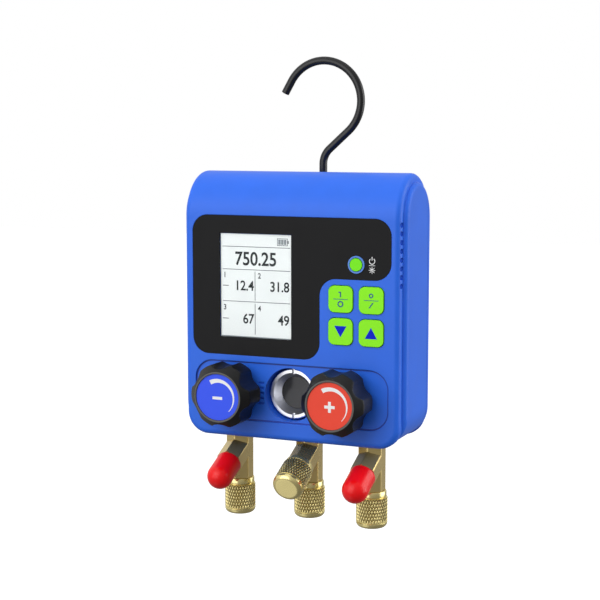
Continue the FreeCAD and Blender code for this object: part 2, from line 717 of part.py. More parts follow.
def front_shell():
    body = new_body("front_shell")
    step = FRONT + D.step_depth
    sketch = front_sketch(body, "side_panels", PARTING)
    u_outline(sketch, HALF, PANEL_BOTTOM, D.panel_corner_r)
    pad(body, sketch, PARTING - step)
    sketch = side_sketch(body, "panel_tops")
    front_arch(sketch, PANEL_ARCH_R)
    pad(body, sketch, HALF * 2, both_ways=True)
    fillet(body, D.rim_edge_r, lambda edge: on_outline(edge, HALF, PANEL_BOTTOM, step)
           or on_arch_side(edge, HALF, PANEL_ARCH_R))

    sketch = front_sketch(body, "front_rim", FRONT + D.rim_depth)
    u_outline(sketch, FRONT_HALF, BOTTOM, D.front_corner_r)
    pad(body, sketch, D.rim_depth)
    sketch = side_sketch(body, "front_top")
    front_arch(sketch, ARCH_R)
    pad(body, sketch, FRONT_HALF * 2, both_ways=True)
    fillet(body, D.front_edge_r, lambda edge: on_outline(edge, FRONT_HALF, BOTTOM, FRONT)
           or on_arch_side(edge, FRONT_HALF, ARCH_R))

    front_depth = PARTING - FRONT
    sketch = front_sketch(body, "cavity", PARTING)
    u_outline(sketch, CAVITY_HALF, CAVITY_BOTTOM, D.front_corner_r - D.wall)
    pocket(body, sketch, front_depth - D.wall, reverse=True)
    sketch = side_sketch(body, "cavity_top")
    front_arch(sketch, ARCH_R - D.wall)
    pocket(body, sketch, CAVITY_HALF * 2, both_ways=True)

    sketch = front_sketch(body, "case_screw_bosses", PARTING)
    for x, z in case_screw_spots():
        circle(sketch, x, z, D.boss_r)
    pad(body, sketch, front_depth - D.wall)
    sketch = front_sketch(body, "board_bosses", BOARD_FRONT)
    for x, z in board_screw_spots():
        circle(sketch, x, z, D.small_head_r + D.part_gap)
    pad(body, sketch, D.board_deep - D.wall)
    sketch = front_sketch(body, "block_bosses", BLOCK_FRONT)
    for x, z in block_screw_spots():
        circle(sketch, x, z, D.boss_r)
    pad(body, sketch, D.block_deep - D.wall)
    sketch = front_sketch(body, "sight_collar", BLOCK_FRONT - D.part_gap)
    circle(sketch, 0, SIGHT_Z, D.sight_hole_r + D.sight_collar)
    pad(body, sketch, D.block_deep - D.part_gap - D.wall)

    sketch = front_sketch(body, "case_screw_holes", PARTING)
    for x, z in case_screw_spots():
        circle(sketch, x, z, D.case_screw_r + D.running_fit)
    pocket(body, sketch, D.case_screw, reverse=True)
    sketch = front_sketch(body, "board_screw_holes", BOARD_FRONT)
    for x, z in board_screw_spots():
        circle(sketch, x, z, D.small_screw_r + D.running_fit)
    pocket(body, sketch, D.small_screw, reverse=True)
    sketch = front_sketch(body, "block_screw_holes", BLOCK_FRONT)
    for x, z in block_screw_spots():
        circle(sketch, x, z, D.case_screw_r + D.running_fit)
    pocket(body, sketch, D.block_screw + D.fit_gap, reverse=True)

    sketch = front_sketch(body, "fascia_seat", FRONT)
    fascia_outline(sketch, D.fit_gap)
    pocket(body, sketch, D.fascia_thick)
    sketch = front_sketch(body, "knob_recess", FRONT)
    recess_half = FRONT_HALF - D.recess_inset
    rounded_rectangle(sketch, (-recess_half, recess_half), (RECESS_BOTTOM, RECESS_TOP),
                      D.recess_corner_r)
    pocket(body, sketch, D.recess_deep)

    sketch = front_sketch(body, "front_openings", FRONT)
    half_wide = D.window_width / 2 - D.window_ledge
    half_tall = D.window_height / 2 - D.window_ledge
    rectangle(sketch, (WINDOW_X - half_wide, WINDOW_X + half_wide),
              (WINDOW_Z - half_tall, WINDOW_Z + half_tall))
    circle(sketch, KEY_X, POWER_Z, D.power_r + D.key_gap)
    for x, z in key_spots().values():
        half_wide = D.key_width / 2 + D.key_gap
        half_tall = D.key_height / 2 + D.key_gap
        rounded_rectangle(sketch, (x - half_wide, x + half_wide), (z - half_tall, z + half_tall),
                          D.key_corner_r + D.key_gap)
    for side in (-1, 1):
        circle(sketch, side * D.valve_x, VALVE_Z, D.bonnet_neck_r + 1)
    pocket(body, sketch, D.wall * 2)
    sketch = front_sketch(body, "sight_opening", FRONT)
    circle(sketch, 0, SIGHT_Z, D.sight_hole_r)
    pocket(body, sketch, D.block_deep)

    sketch = front_sketch(body, "slots", FRONT + D.recess_deep)
    for side in (-1, 1):
        for index in range(-2, 3):
            x = side * D.tick_x
            z = SIGHT_Z + D.tick_pitch * index
            rectangle(sketch, (x - D.tick_length / 2, x + D.tick_length / 2),
                      (z - D.tick_height / 2, z + D.tick_height / 2))
    pocket(body, sketch, D.recess_deep)

    for side in (-1, 1):
        vents(body, side)

    sketch = new_sketch(body, "port_holes", "XY_Plane", BOTTOM)
    for x, y in port_spots().values():
        circle(sketch, x, y, D.hex_hole_r)
    pocket(body, sketch, (D.wall + D.panel_rise) * 3, both_ways=True)
    piece(body, "front_shell")


def vents(body, side):
    """Column of round blind holes that face half forward beside the panel."""
    name = "right_vents" if side > 0 else "left_vents"
    sketch = new_sketch(body, name, "XZ_Plane")
    x = side * (FRONT_HALF - D.vent_side)
    y = FRONT + D.vent_deep
    turn = Rotation(Vector(0, 1, 0), side * 45)
    sketch.AttachmentOffset = Placement(Vector(x.number, 0, -y.number), turn)
    bind(sketch, "AttachmentOffset.Base.x", x)
    bind(sketch, "AttachmentOffset.Base.z", -y)
    for index in range(int(D.vent_count.number)):
        circle(sketch, 0, ARCH_Z - D.vent_drop - D.vent_pitch * index, D.vent_r)
    pocket(body, sketch, D.wall * 3, reverse=True)


def rear_shell():
    body = new_body("rear_shell")
    depth = BACK - REAR_START
    step = BACK - D.step_depth
    sketch = front_sketch(body, "rear_panels", REAR_START)
    u_outline(sketch, HALF, PANEL_BOTTOM, D.panel_corner_r)
    pad(body, sketch, step - REAR_START, reverse=True)
    sketch = side_sketch(body, "rear_panel_tops")
    rear_arch(sketch, PANEL_ARCH_R, REAR_START)
    pad(body, sketch, HALF * 2, both_ways=True)
    fillet(body, D.rim_edge_r, lambda edge: on_outline(edge, HALF, PANEL_BOTTOM, step)
           or on_arch_side(edge, HALF, PANEL_ARCH_R))

    sketch = front_sketch(body, "rear_rim", BACK)
    u_outline(sketch, FRONT_HALF, BOTTOM, D.front_corner_r)
    pad(body, sketch, D.rim_depth)
    sketch = side_sketch(body, "rear_top")
    rear_arch(sketch, ARCH_R, REAR_START)
    pad(body, sketch, FRONT_HALF * 2, both_ways=True)
    fillet(body, D.back_edge_r, lambda edge: on_outline(edge, FRONT_HALF, BOTTOM, BACK)
           or on_arch_side(edge, FRONT_HALF, ARCH_R))

    sketch = front_sketch(body, "rear_cavity", REAR_START)
    u_outline(sketch, CAVITY_HALF, CAVITY_BOTTOM, D.front_corner_r - D.wall)
    pocket(body, sketch, depth - D.wall)
    sketch = side_sketch(body, "rear_cavity_top")
    rear_arch(sketch, ARCH_R - D.wall, REAR_START)
    pocket(body, sketch, CAVITY_HALF * 2, both_ways=True)

    sketch = front_sketch(body, "hanger_boss", BACK + D.boss_proud)
    rounded_rectangle(sketch, (-D.boss_width / 2, D.boss_width / 2), (BOSS_BOTTOM, BOSS_TOP),
                      D.rim_edge_r * 3)
    pad(body, sketch, D.boss_proud * 2 + D.hook_rod_d)
    sketch = front_sketch(body, "rear_screw_bosses", REAR_START)
    for x, z in case_screw_spots():
        circle(sketch, x, z, D.boss_r)
    pad(body, sketch, depth - D.wall, reverse=True)
    sketch = front_sketch(body, "battery_tray", TRAY_Y - D.tray_wall)
    rectangle(sketch, (-TRAY_HALF - D.tray_wall, TRAY_HALF + D.tray_wall),
              (TRAY_BOTTOM - D.tray_wall, TRAY_TOP + D.tray_wall))
    pad(body, sketch, BACK - TRAY_Y + D.tray_wall - D.wall / 2, reverse=True)

    pocket_back = D.boss_proud + D.wall
    sketch = front_sketch(body, "clip_pocket_wall", BACK - pocket_back)
    rectangle(sketch, (-D.boss_width / 2 - D.wall, D.boss_width / 2 + D.wall),
              (BOSS_BOTTOM - D.clip_room - D.wall, BOSS_BOTTOM + D.wall))
    pad(body, sketch, pocket_back - D.wall / 2, reverse=True)

    sketch = front_sketch(body, "battery_bay", BACK)
    rectangle(sketch, (-TRAY_HALF, TRAY_HALF), (TRAY_BOTTOM, TRAY_TOP))
    pocket(body, sketch, BACK - TRAY_Y, reverse=True)
    # The door's lower edge swings down a little as it tilts, so the seat is lower than its gap there.
    sketch = front_sketch(body, "door_seat", BACK)
    lip = D.door_lip + D.door_gap
    rectangle(sketch, (-TRAY_HALF - lip, TRAY_HALF + lip),
              (DOOR_LOW - D.door_gap - D.door_swing, DOOR_HIGH + D.door_gap))
    pocket(body, sketch, D.door_thick, reverse=True)
    sketch = front_sketch(body, "tab_pockets", BACK)
    room = D.tab_r + D.door_gap
    for side in (-1, 1):
        left = side * D.tab_x - D.tab_width / 2 - D.door_gap
        right = side * D.tab_x + D.tab_width / 2 + D.door_gap
        rectangle(sketch, (left, right), (TAB_Z - room, DOOR_LOW))
    pocket(body, sketch, D.door_thick / 2 + room, reverse=True)

    sketch = front_sketch(body, "screw_ways", BACK)
    for x, z in case_screw_spots():
        circle(sketch, x, z, D.case_screw_r + 0.2)
    pocket(body, sketch, depth, reverse=True)
    sketch = front_sketch(body, "screw_heads", BACK)
    for x, z in case_screw_spots():
        circle(sketch, x, z, D.case_head_r + 0.2)
    pocket(body, sketch, D.case_head * 2, reverse=True)

    sketch = new_sketch(body, "hook_bore", "XY_Plane", BOSS_TOP)
    circle(sketch, 0, 0, D.hook_rod_d / 2 + D.hook_fit)
    pocket(body, sketch, D.boss_height)
    sketch = front_sketch(body, "clip_pocket", BACK)
    rectangle(sketch, (-D.boss_width / 2, D.boss_width / 2),
              (BOSS_BOTTOM - D.clip_room, BOSS_BOTTOM))
    pocket(body, sketch, D.boss_proud * 2, both_ways=True)
    piece(body, "rear_shell")


def battery_door():
    """Door that tilts on two round-ended tabs at its lower edge."""
    half = TRAY_HALF + D.door_lip
    body = new_body("battery_door")
    sketch = front_sketch(body, "door_plate", BACK)
    rectangle(sketch, (-half, half), (DOOR_LOW, DOOR_HIGH))
    pad(body, sketch, D.door_thick - D.fit_gap)
    sketch = front_sketch(body, "thumb_groove", BACK)
    groove_top = DOOR_HIGH - D.door_lip
    rounded_rectangle(sketch, (-half / 3, half / 3), (groove_top - D.door_lip * 3, groove_top),
                      D.door_lip)
    pocket(body, sketch, D.door_thick / 3, reverse=True)
    for side in (-1, 1):
        start = side * D.tab_x - D.tab_width / 2
        sketch = new_sketch(body, "left_tab" if side < 0 else "right_tab", "YZ_Plane", start)
        front = TAB_Y - D.tab_r
        back = TAB_Y + D.tab_r
        outline(sketch, [
            (back, DOOR_LOW + D.door_lip), (front, DOOR_LOW + D.door_lip),
            (front, TAB_Z, (TAB_Y, TAB_Z, 1)), (back, TAB_Z),
        ])
        pad(body, sketch, D.tab_width)
    piece(body, "battery_door")


def cells():
    """Round cells, side by side, each the other way round from its neighbour."""
    parts = []
    y = TRAY_Y + CELL_PITCH / 2
    for index in range(int(D.cell_count.number)):
        z = TRAY_TOP - CELL_PITCH * (index + 0.5)
        way = 1 if index % 2 else -1
        half = D.cell_length / 2
        can = cylinder(f"cell_can_{index}", D.cell_r, "x", (y, z), -half, half)
        start, end = (half, half + D.cell_nub) if way > 0 else (-half - D.cell_nub, -half)
        nub = cylinder(f"cell_nub_{index}", D.cell_nub_r, "x", (y, z), start, end)
        parts.append(fused(f"cell_{index}", [can, nub]))
    piece(group("cell_group", parts), "battery_cells")


def contacts():
    """Spring leaves at both ends of each cell, bowed towards the cell."""
    parts = []
    y = TRAY_Y + CELL_PITCH / 2
    for index in range(int(D.cell_count.number)):
        z = TRAY_TOP - CELL_PITCH * (index + 0.5)
        for side in (-1, 1):
            wall_x = side * TRAY_HALF
            positive = (1 if index % 2 else -1) == side
            reach = D.contact_gap if positive else D.contact_gap + D.cell_nub
            inner = wall_x - side * D.contact_thick
            tip = wall_x - side * (reach - D.fit_gap)
            leaf_x = (wall_x, inner) if side < 0 else (inner, wall_x)
            name = f"contact_{index}_{'right' if side > 0 else 'left'}"
            plate = box(name + "_plate", leaf_x, (y - D.cell_r / 2, y + D.cell_r / 2),
                        (z - D.cell_r / 2, z + D.cell_r / 2))
            peg_x = (inner, tip) if side < 0 else (tip, inner)
            peg = cylinder(name + "_dome", D.cell_nub_r, "x", (y, z), *peg_x)
            parts.append(fused(name, [plate, peg]))
    piece(group("contact_group", parts), "battery_contacts")


def fascia():
    body = new_body("fascia_overlay")
    sketch = front_sketch(body, "fascia_outline", FRONT)
    fascia_outline(sketch, 0)
    pad(body, sketch, D.fascia_thick - D.fit_gap / 2, reverse=True)
    sketch = front_sketch(body, "fascia_openings", FRONT)
    half_wide = D.window_width / 2 + D.fit_gap
    half_tall = D.window_height / 2 + D.fit_gap
    rectangle(sketch, (WINDOW_X - half_wide, WINDOW_X + half_wide),
              (WINDOW_Z - half_tall, WINDOW_Z + half_tall))
    circle(sketch, KEY_X, POWER_Z, D.power_ring_r + D.fit_gap)
    pocket(body, sketch, D.fascia_thick * 2, both_ways=True)
    piece(body, "fascia_overlay")


def display():
    """Window, display and the frame that holds the display against the shell."""
    half_wide = D.window_width / 2
    half_tall = D.window_height / 2
    x = WINDOW_X
    piece(box("window", (x - half_wide, x + half_wide), (FRONT, FRONT + D.fascia_thick - D.fit_gap),
              (WINDOW_Z - half_tall, WINDOW_Z + half_tall)), "display_window")

    face_wide = half_wide - D.window_ledge - D.fit_gap
    face_tall = half_tall - D.window_ledge - D.fit_gap
    glass_wide = half_wide + D.display_margin
    glass_tall = half_tall + D.display_margin
    seat = FRONT + D.wall + D.fit_gap
    glass_back = seat + D.display_thick
    glass = box("display_glass", (x - glass_wide, x + glass_wide), (seat, glass_back),
                (WINDOW_Z - glass_tall, WINDOW_Z + glass_tall))
    face = box("display_face", (x - face_wide, x + face_wide), (FRONT + D.fascia_thick, seat),
               (WINDOW_Z - face_tall, WINDOW_Z + face_tall))
    piece(fused("display_solid", [glass, face]), "display_module")

    frame_wide = glass_wide + D.display_margin
    frame_tall = glass_tall + D.display_margin
    block = box("frame_block", (x - frame_wide, x + frame_wide), (seat, BOARD_FRONT),
                (WINDOW_Z - frame_tall, WINDOW_Z + frame_tall))
    room = box("frame_room", (x - glass_wide - D.fit_gap, x + glass_wide + D.fit_gap),
               (seat, glass_back + D.fit_gap),
               (WINDOW_Z - glass_tall - D.fit_gap, WINDOW_Z + glass_tall + D.fit_gap))
    opening = box("frame_opening", (x - face_wide, x + face_wide), (seat, BOARD_FRONT),
                  (WINDOW_Z - face_tall, WINDOW_Z + face_tall))
    piece(cut("frame_solid", block, [room, opening]), "display_holder")


def main_board():
    board = box("board_blank", (-BOARD_HALF, BOARD_HALF), (BOARD_FRONT, BOARD_FRONT + D.board_thick),
                (BOARD_BOTTOM, BOARD_TOP))
    holes = []
    for index, (x, z) in enumerate(board_screw_spots()):
        holes.append(cylinder(f"board_hole_{index}", D.small_screw_r + 0.2, "y", (x, z),
                              BOARD_FRONT, BOARD_FRONT + D.board_thick))
    piece(cut("board_solid", board, holes), "main_board")

    screws = []
    back = BOARD_FRONT + D.board_thick
    for index, (x, z) in enumerate(board_screw_spots()):
        head = cylinder(f"board_head_{index}", D.small_head_r, "y", (x, z), back, back + D.small_head)
        shank = cylinder(f"board_shank_{index}", D.small_screw_r, "y", (x, z),
                         BOARD_FRONT - D.small_screw + D.fit_gap, back)
        screws.append(fused(f"board_screw_{index}", [head, shank]))
    piece(group("board_screw_group", screws), "board_screws")


def buttons():
    """Power button with its ring, four keys, and the switches behind them."""
    inside = FRONT + D.wall + D.fit_gap
    cap = cylinder("power_cap", D.power_r, "y", (KEY_X, POWER_Z), FRONT - D.power_proud, inside)
    skirt = cylinder("power_skirt", D.power_r + D.skirt, "y", (KEY_X, POWER_Z),
                     inside, inside + D.skirt)
    half = D.post_side / 2
    post = box("power_post", (KEY_X - half, KEY_X + half), (inside, POST_END),
               (POWER_Z - half, POWER_Z + half))
    piece(fused("power_solid", [cap, skirt, post]), "power_button")
    rim = cylinder("power_rim", D.power_ring_r, "y", (KEY_X, POWER_Z),
                   FRONT - D.power_proud / 2, FRONT + D.fascia_thick - D.fit_gap)
    way = cylinder("power_way", D.power_r + D.key_gap, "y", (KEY_X, POWER_Z),
                   FRONT - D.power_proud, FRONT + D.fascia_thick)
    piece(cut("power_ring_solid", rim, [way]), "power_ring")

    switches = [switch("power_switch", KEY_X, POWER_Z)]
    for name, (x, z) in key_spots().items():
        key(name, x, z, inside)
        switches.append(switch(name + "_switch", x, z))
    piece(group("switch_group", switches), "tact_switches")


def switch(name, x, z):
    half = D.switch_side / 2
    base = box(name + "_base", (x - half, x + half), (SWITCH_FRONT, BOARD_FRONT),
               (z - half, z + half))
    plunger = cylinder(name + "_plunger", D.plunger_r, "y", (x, z),
                       SWITCH_FRONT - D.plunger_height, SWITCH_FRONT)
    return fused(name, [base, plunger])


def key(name, x, z, inside):
    """Key with a rounded cap, a skirt behind the wall and a post to its switch."""
    body = new_body(name)
    sketch = front_sketch(body, name + "_cap", inside)
    half_wide = D.key_width / 2
    half_tall = D.key_height / 2
    rounded_rectangle(sketch, (x - half_wide, x + half_wide), (z - half_tall, z + half_tall),
                      D.key_corner_r)
    pad(body, sketch, inside - FRONT + D.key_proud)
    sketch = front_sketch(body, name + "_skirt", inside)
    half_wide = half_wide + D.skirt
    half_tall = half_tall + D.skirt
    rectangle(sketch, (x - half_wide, x + half_wide), (z - half_tall, z + half_tall))
    pad(body, sketch, D.skirt, reverse=True)
    sketch = front_sketch(body, name + "_post", inside)
    half = D.post_side / 2
    rectangle(sketch, (x - half, x + half), (z - half, z + half))
    pad(body, sketch, POST_END - inside, reverse=True)
    piece(body, name)


def manifold_block():
    blank = box("block_blank", (-BLOCK_HALF, BLOCK_HALF), (BLOCK_FRONT, BLOCK_BACK),
                (BLOCK_BOTTOM, BLOCK_TOP))
    tools = []
    for name, (x, y) in port_spots().items():
        tools.append(cylinder(f"{name}_port_bore", D.hex_neck_r + D.running_fit, "z", (x, y),
                              BLOCK_BOTTOM, BLOCK_BOTTOM + D.hex_neck + D.fit_gap))
        tools.append(cylinder(f"{name}_port_seal_seat", D.hex_neck_r + D.seal_ring_r * 2 + D.fit_gap,
                              "z", (x, y), BLOCK_BOTTOM, BLOCK_BOTTOM + D.seal_ring_r * 2))
        tools.append(cylinder(f"{name}_port_gallery", D.gallery_r, "z", (x, y),
                              BLOCK_BOTTOM, VALVE_Z))
    for side in (-1, 1):
        name = "high" if side > 0 else "low"
        x = side * D.valve_x
        seat = BLOCK_FRONT + D.valve_deep
        tools.append(cylinder(f"{name}_valve_bore", D.bonnet_r + D.running_fit, "y", (x, VALVE_Z),
                              BLOCK_FRONT, BLOCK_FRONT + D.bonnet_thread))
        tools.append(cylinder(f"{name}_valve_chamber", D.chamber_r, "y", (x, VALVE_Z),
                              BLOCK_FRONT, seat))
        tools.append(cylinder(f"{name}_valve_orifice", D.gallery_r, "y", (x, VALVE_Z),
                              BLOCK_FRONT, seat + D.gallery_r * 2))
        sensor_at = (side * SENSOR_X, FRONT + D.sensor_deep)
        tools.append(cylinder(f"{name}_sensor_bore", D.sensor_thread_r + D.running_fit, "z",
                              sensor_at, BLOCK_TOP - D.sensor_thread - D.fit_gap, BLOCK_TOP))
        tools.append(cylinder(f"{name}_sensor_way", D.gallery_r / 2, "z", sensor_at,
                              VALVE_Z, BLOCK_TOP))
        ends = (-PORT_X, -SENSOR_X) if side < 0 else (SENSOR_X, PORT_X)
        tools.append(cylinder(f"{name}_side_gallery", D.gallery_r, "x",
                              (FRONT + D.sensor_deep, VALVE_Z), *ends))
    tools.append(cylinder("middle_gallery", D.gallery_r, "x",
                          (FRONT + D.centre_port_deep, VALVE_Z), -D.valve_x, D.valve_x))
    tools.append(cylinder("sight_way", D.gallery_r, "y", (0, VALVE_Z), BLOCK_FRONT,
                          FRONT + D.centre_port_deep))
    tools.append(cylinder("sight_bore", D.sight_neck_r + D.running_fit, "y", (0, SIGHT_Z),
                          BLOCK_FRONT, BLOCK_FRONT + D.seal_thick * 3))
    for index, (x, z) in enumerate(block_screw_spots()):
        tools.append(cylinder(f"block_way_{index}", D.case_screw_r + 0.2, "y", (x, z),
                              BLOCK_FRONT, BLOCK_BACK))
    piece(cut("block_solid", blank, tools), "manifold_block")

    screws = []
    for index, (x, z) in enumerate(block_screw_spots()):
        head = cylinder(f"block_head_{index}", D.case_head_r, "y", (x, z),
                        BLOCK_BACK, BLOCK_BACK + D.case_head)
        shank = cylinder(f"block_shank_{index}", D.case_screw_r, "y", (x, z),
                         BLOCK_FRONT - D.block_screw, BLOCK_BACK)
        screws.append(fused(f"block_screw_{index}", [head, shank]))
    piece(group("block_screw_group", screws), "block_screws")


def case_screws():
    screws = []
    seat = BACK - D.case_head * 2
    for index, (x, z) in enumerate(case_screw_spots()):
        head = cylinder(f"case_head_{index}", D.case_head_r, "y", (x, z), seat, seat + D.case_head)
        shank = cylinder(f"case_shank_{index}", D.case_screw_r, "y", (x, z),
                         PARTING - D.case_screw + D.fit_gap, seat)
        screws.append(fused(f"case_screw_{index}", [head, shank]))
    piece(group("case_screw_group", screws), "case_screws")


def sensor(name, side):
    x = side * SENSOR_X
    y = FRONT + D.sensor_deep
    hex_top = BLOCK_TOP + D.sensor_hex
    can_top = hex_top + D.sensor_length
    parts = [
        cylinder(name + "_thread", D.sensor_thread_r, "z", (x, y), BLOCK_TOP - D.sensor_thread,
                 BLOCK_TOP),
        hexagon(name + "_hexagon", D.sensor_flats, "z", (x, y), BLOCK_TOP, hex_top),
        cylinder(name + "_can", D.sensor_r, "z", (x, y), hex_top, can_top),
        box(name + "_plug", (x - D.sensor_r / 3, x + D.sensor_r / 3),
            (y - D.sensor_r / 2, y + D.sensor_r / 2), (can_top, can_top + D.sensor_hex)),
    ]
    piece(fused(name + "_solid", parts), name)


def sight_glass():
    """Dished bezel screwed into the block, with the glass on a seal; Z points out of the front."""
    front = D.block_deep - D.sight_bezel_deep
    neck = D.seal_thick * 3 - D.fit_gap
    glass_front = front - D.sight_dish
    glass_back = glass_front - D.sight_glass_thick
    glass_seat = glass_back - D.seal_thick - D.fit_gap * 2
    bore = D.sight_glass_r + D.fit_gap
    lip = bore - D.seal_thick * 2
    flange = front - D.sight_flange
    bevel = D.fit_gap * 5
    bezel = turned("sight_bezel", [
        (lip, -neck), (D.sight_neck_r, -neck), (D.sight_neck_r, flange), (D.sight_bezel_r, flange),
        (D.sight_bezel_r, front - bevel), (D.sight_bezel_r - bevel, front), (D.sight_dish_r, front),
        (bore, glass_front), (bore, glass_seat), (lip, glass_seat),
    ], 0, BLOCK_FRONT, SIGHT_Z, OUT_OF_FRONT)
    sketch = new_sketch(bezel, "spanner_slots", "XY_Plane", front)
    half = D.sight_slot / 2
    rectangle(sketch, (-half, half), (D.sight_dish_r - D.sight_slot, D.sight_bezel_r + 1))
    rectangle(sketch, (-half, half), (-D.sight_bezel_r - 1, D.sight_slot - D.sight_dish_r))
    pocket(bezel, sketch, D.sight_slot)
    put(bezel, 0, BLOCK_FRONT, SIGHT_Z, OUT_OF_FRONT)
    seal = cylinder("seal_blank", D.sight_glass_r, "y", (0, SIGHT_Z),
                    BLOCK_FRONT - glass_seat - D.seal_thick, BLOCK_FRONT - glass_seat)
    way = cylinder("seal_way", D.sight_glass_r - D.seal_thick * 1.5, "y", (0, SIGHT_Z),
                   BLOCK_FRONT - glass_seat - D.seal_thick, BLOCK_FRONT - glass_seat)
    piece(cut("seal_solid", seal, [way]), "sight_seal")
    piece(cylinder("sight_pane", D.sight_glass_r, "y", (0, SIGHT_Z),
                   BLOCK_FRONT - glass_front, BLOCK_FRONT - glass_back), "sight_glass")


def valve(name, side):
    """One valve: packing nut, stem with O-rings, seat disc, knob, disc and screw.
    Lengths are counted out of the front from the valve's seat."""
    x = side * D.valve_x
    seat_y = BLOCK_FRONT + D.valve_deep
    at = (x, seat_y, VALVE_Z, OUT_OF_FRONT)
    nut_start = D.valve_deep - D.bonnet_thread + D.fit_gap
    block_face = D.valve_deep
    neck_end = D.valve_deep + D.block_deep + D.bonnet_proud
    bore = D.stem_r + D.running_fit
    seat_top = D.fit_gap + D.seat_thick
    shoulder = seat_top + D.fit_gap
    knob_base = D.valve_deep + D.block_deep + D.knob_gap
    disc_top = knob_base + D.knob_length - D.disc_deep
    disc_base = disc_top - D.disc_thick
    head_base = disc_base - D.fit_gap - D.screw_head
    stem_end = head_base - D.knob_screw_web

    nut = cylinder_out(name + "_nut_thread", D.bonnet_r, at, nut_start, block_face)
    nut_hex = hexagon(name + "_nut_hexagon", D.bonnet_flats, "y", (x, VALVE_Z),
                      BLOCK_FRONT - D.bonnet_hex, BLOCK_FRONT)
    neck = cylinder_out(name + "_nut_neck", D.bonnet_neck_r, at, block_face, neck_end)
    way = cylinder_out(name + "_nut_way", bore, at, nut_start, neck_end)
    solid = fused(name + "_nut_blank", [nut, nut_hex, neck])
    piece(cut(name + "_nut", solid, [way]), f"{name}_packing_nut")

    groove_r = D.stem_r - D.stem_ring_r * 2
    rings = [block_face + D.ring_first, block_face + D.ring_first + D.ring_pitch]
    profile = [(0, D.pin_start), (D.pin_r, D.pin_start), (D.pin_r, shoulder), (D.stem_r, shoulder)]
    for middle in rings:
        profile += [
            (D.stem_r, middle - D.stem_ring_r - D.fit_gap),
            (groove_r, middle - D.stem_ring_r - D.fit_gap),
            (groove_r, middle + D.stem_ring_r + D.fit_gap),
            (D.stem_r, middle + D.stem_ring_r + D.fit_gap),
        ]
    profile += [
        (D.stem_r, stem_end), (D.screw_r + D.running_fit, stem_end),
        (D.screw_r + D.running_fit, stem_end - D.screw_length), (0, stem_end - D.screw_length),
    ]
    turned(f"{name}_stem", profile, *at)

    ring_parts = []
    for index, middle in enumerate(rings):
        ring = doc.addObject("Part::Torus", f"{name}_ring_{index}")
        bind(ring, "Radius1", D.stem_r - D.stem_ring_r)
        bind(ring, "Radius2", D.stem_ring_r - D.running_fit / 2)
        ring_parts.append(put(ring, x, seat_y - middle, VALVE_Z, OUT_OF_FRONT))
    piece(group(name + "_ring_group", ring_parts), f"{name}_stem_rings")

    turned(f"{name}_seat_disc", [
        (0, D.fit_gap), (D.seat_r, D.fit_gap), (D.seat_r, seat_top),
        (D.pin_r + D.running_fit, seat_top), (D.pin_r + D.running_fit, D.pin_start - D.fit_gap),
        (0, D.pin_start - D.fit_gap),
    ], *at)

    knob(name, at, knob_base, stem_end, head_base, disc_base)
    piece(cylinder_out(name + "_disc_solid", D.disc_r, at, disc_base, disc_top), f"{name}_knob_disc")
    head = cylinder_out(name + "_screw_head", D.screw_head_r, at, head_base,
                        head_base + D.screw_head)
    shank = cylinder_out(name + "_screw_shank", D.screw_r, at,
                         stem_end - D.screw_length + D.fit_gap, head_base)
    piece(fused(name + "_screw_solid", [head, shank]), f"{name}_knob_screw")


def cylinder_out(name, radius, at, start, end):
    """Cylinder on a valve's axis, between two lengths out of the seat."""
    x, seat_y, z, _ = at
    return cylinder(name, radius, "y", (x, z), seat_y - end, seat_y - start)


def knob(name, at, base, stem_end, head_base, disc_base):
    body = new_body(f"{name}_knob")
    sketch = new_sketch(body, f"{name}_knob_profile", "XZ_Plane")
    front = base + D.knob_length
    web_back = disc_base - D.knob_web
    edge = D.knob_edge
    bore = D.stem_r + D.running_fit / 2
    outline(sketch, [
        (bore, base + edge), (D.knob_hub_r, base + edge), (D.knob_hub_r, web_back),
        (D.knob_cavity_r, web_back), (D.knob_cavity_r, base), (D.knob_r - edge, base),
        (D.knob_r, base + edge), (D.knob_r, front - D.knob_shoulder),
        (D.knob_rim_r, front), (D.disc_r + D.fit_gap, front), (D.disc_r + D.fit_gap, disc_base),
        (D.screw_head_r + D.key_gap, disc_base), (D.screw_head_r + D.key_gap, head_base),
        (D.screw_r + D.fit_gap, head_base), (D.screw_r + D.fit_gap, stem_end), (bore, stem_end),
    ])
    revolve(body, sketch)
    sketch = new_sketch(body, f"{name}_scallop", "XY_Plane", base)
    circle(sketch, 0, D.knob_r - D.knob_notch_deep + D.knob_notch_r, D.knob_notch_r)
    scallop = pocket(body, sketch, D.knob_length * 2, both_ways=True)
    pattern = body.newObject("PartDesign::PolarPattern", f"{name}_scallops")
    pattern.Originals = [scallop]
    pattern.Axis = (sketch, ["N_Axis"])
    pattern.Angle = 360
    pattern.Occurrences = 6
    body.Tip = pattern
    fillet(body, D.knob_lobe_edge_r, lambda edge: is_lobe_edge(edge))
    put(body, *at)
    piece(body, f"{name}_knob")


def is_lobe_edge(edge):
    """Straight edges along the knob's axis at the lobes' radius."""
    bounds = edge.BoundBox
    upright = bounds.XLength < 0.01 and bounds.YLength < 0.01 and bounds.ZLength > 1
    return upright and near(math.hypot(bounds.XMin, bounds.YMin), D.knob_r)


def port_end(name, place, start):
    """Male hose thread with its sealing cone, along local Z from start."""
    end = start + D.thread_length
    thread = doc.addObject("Part::Cylinder", name + "_thread")
    bind(thread, "Radius", D.thread_r)
    bind(thread, "Height", D.thread_length + size(1))
    place(thread, start - 1)
    cone = doc.addObject("Part::Cone", name + "_cone")
    bind(cone, "Radius1", D.thread_r - D.flare_length / 4)
    bind(cone, "Radius2", D.flare_tip_r)
    bind(cone, "Height", D.flare_length)
    place(cone, end)
    return [thread, cone]


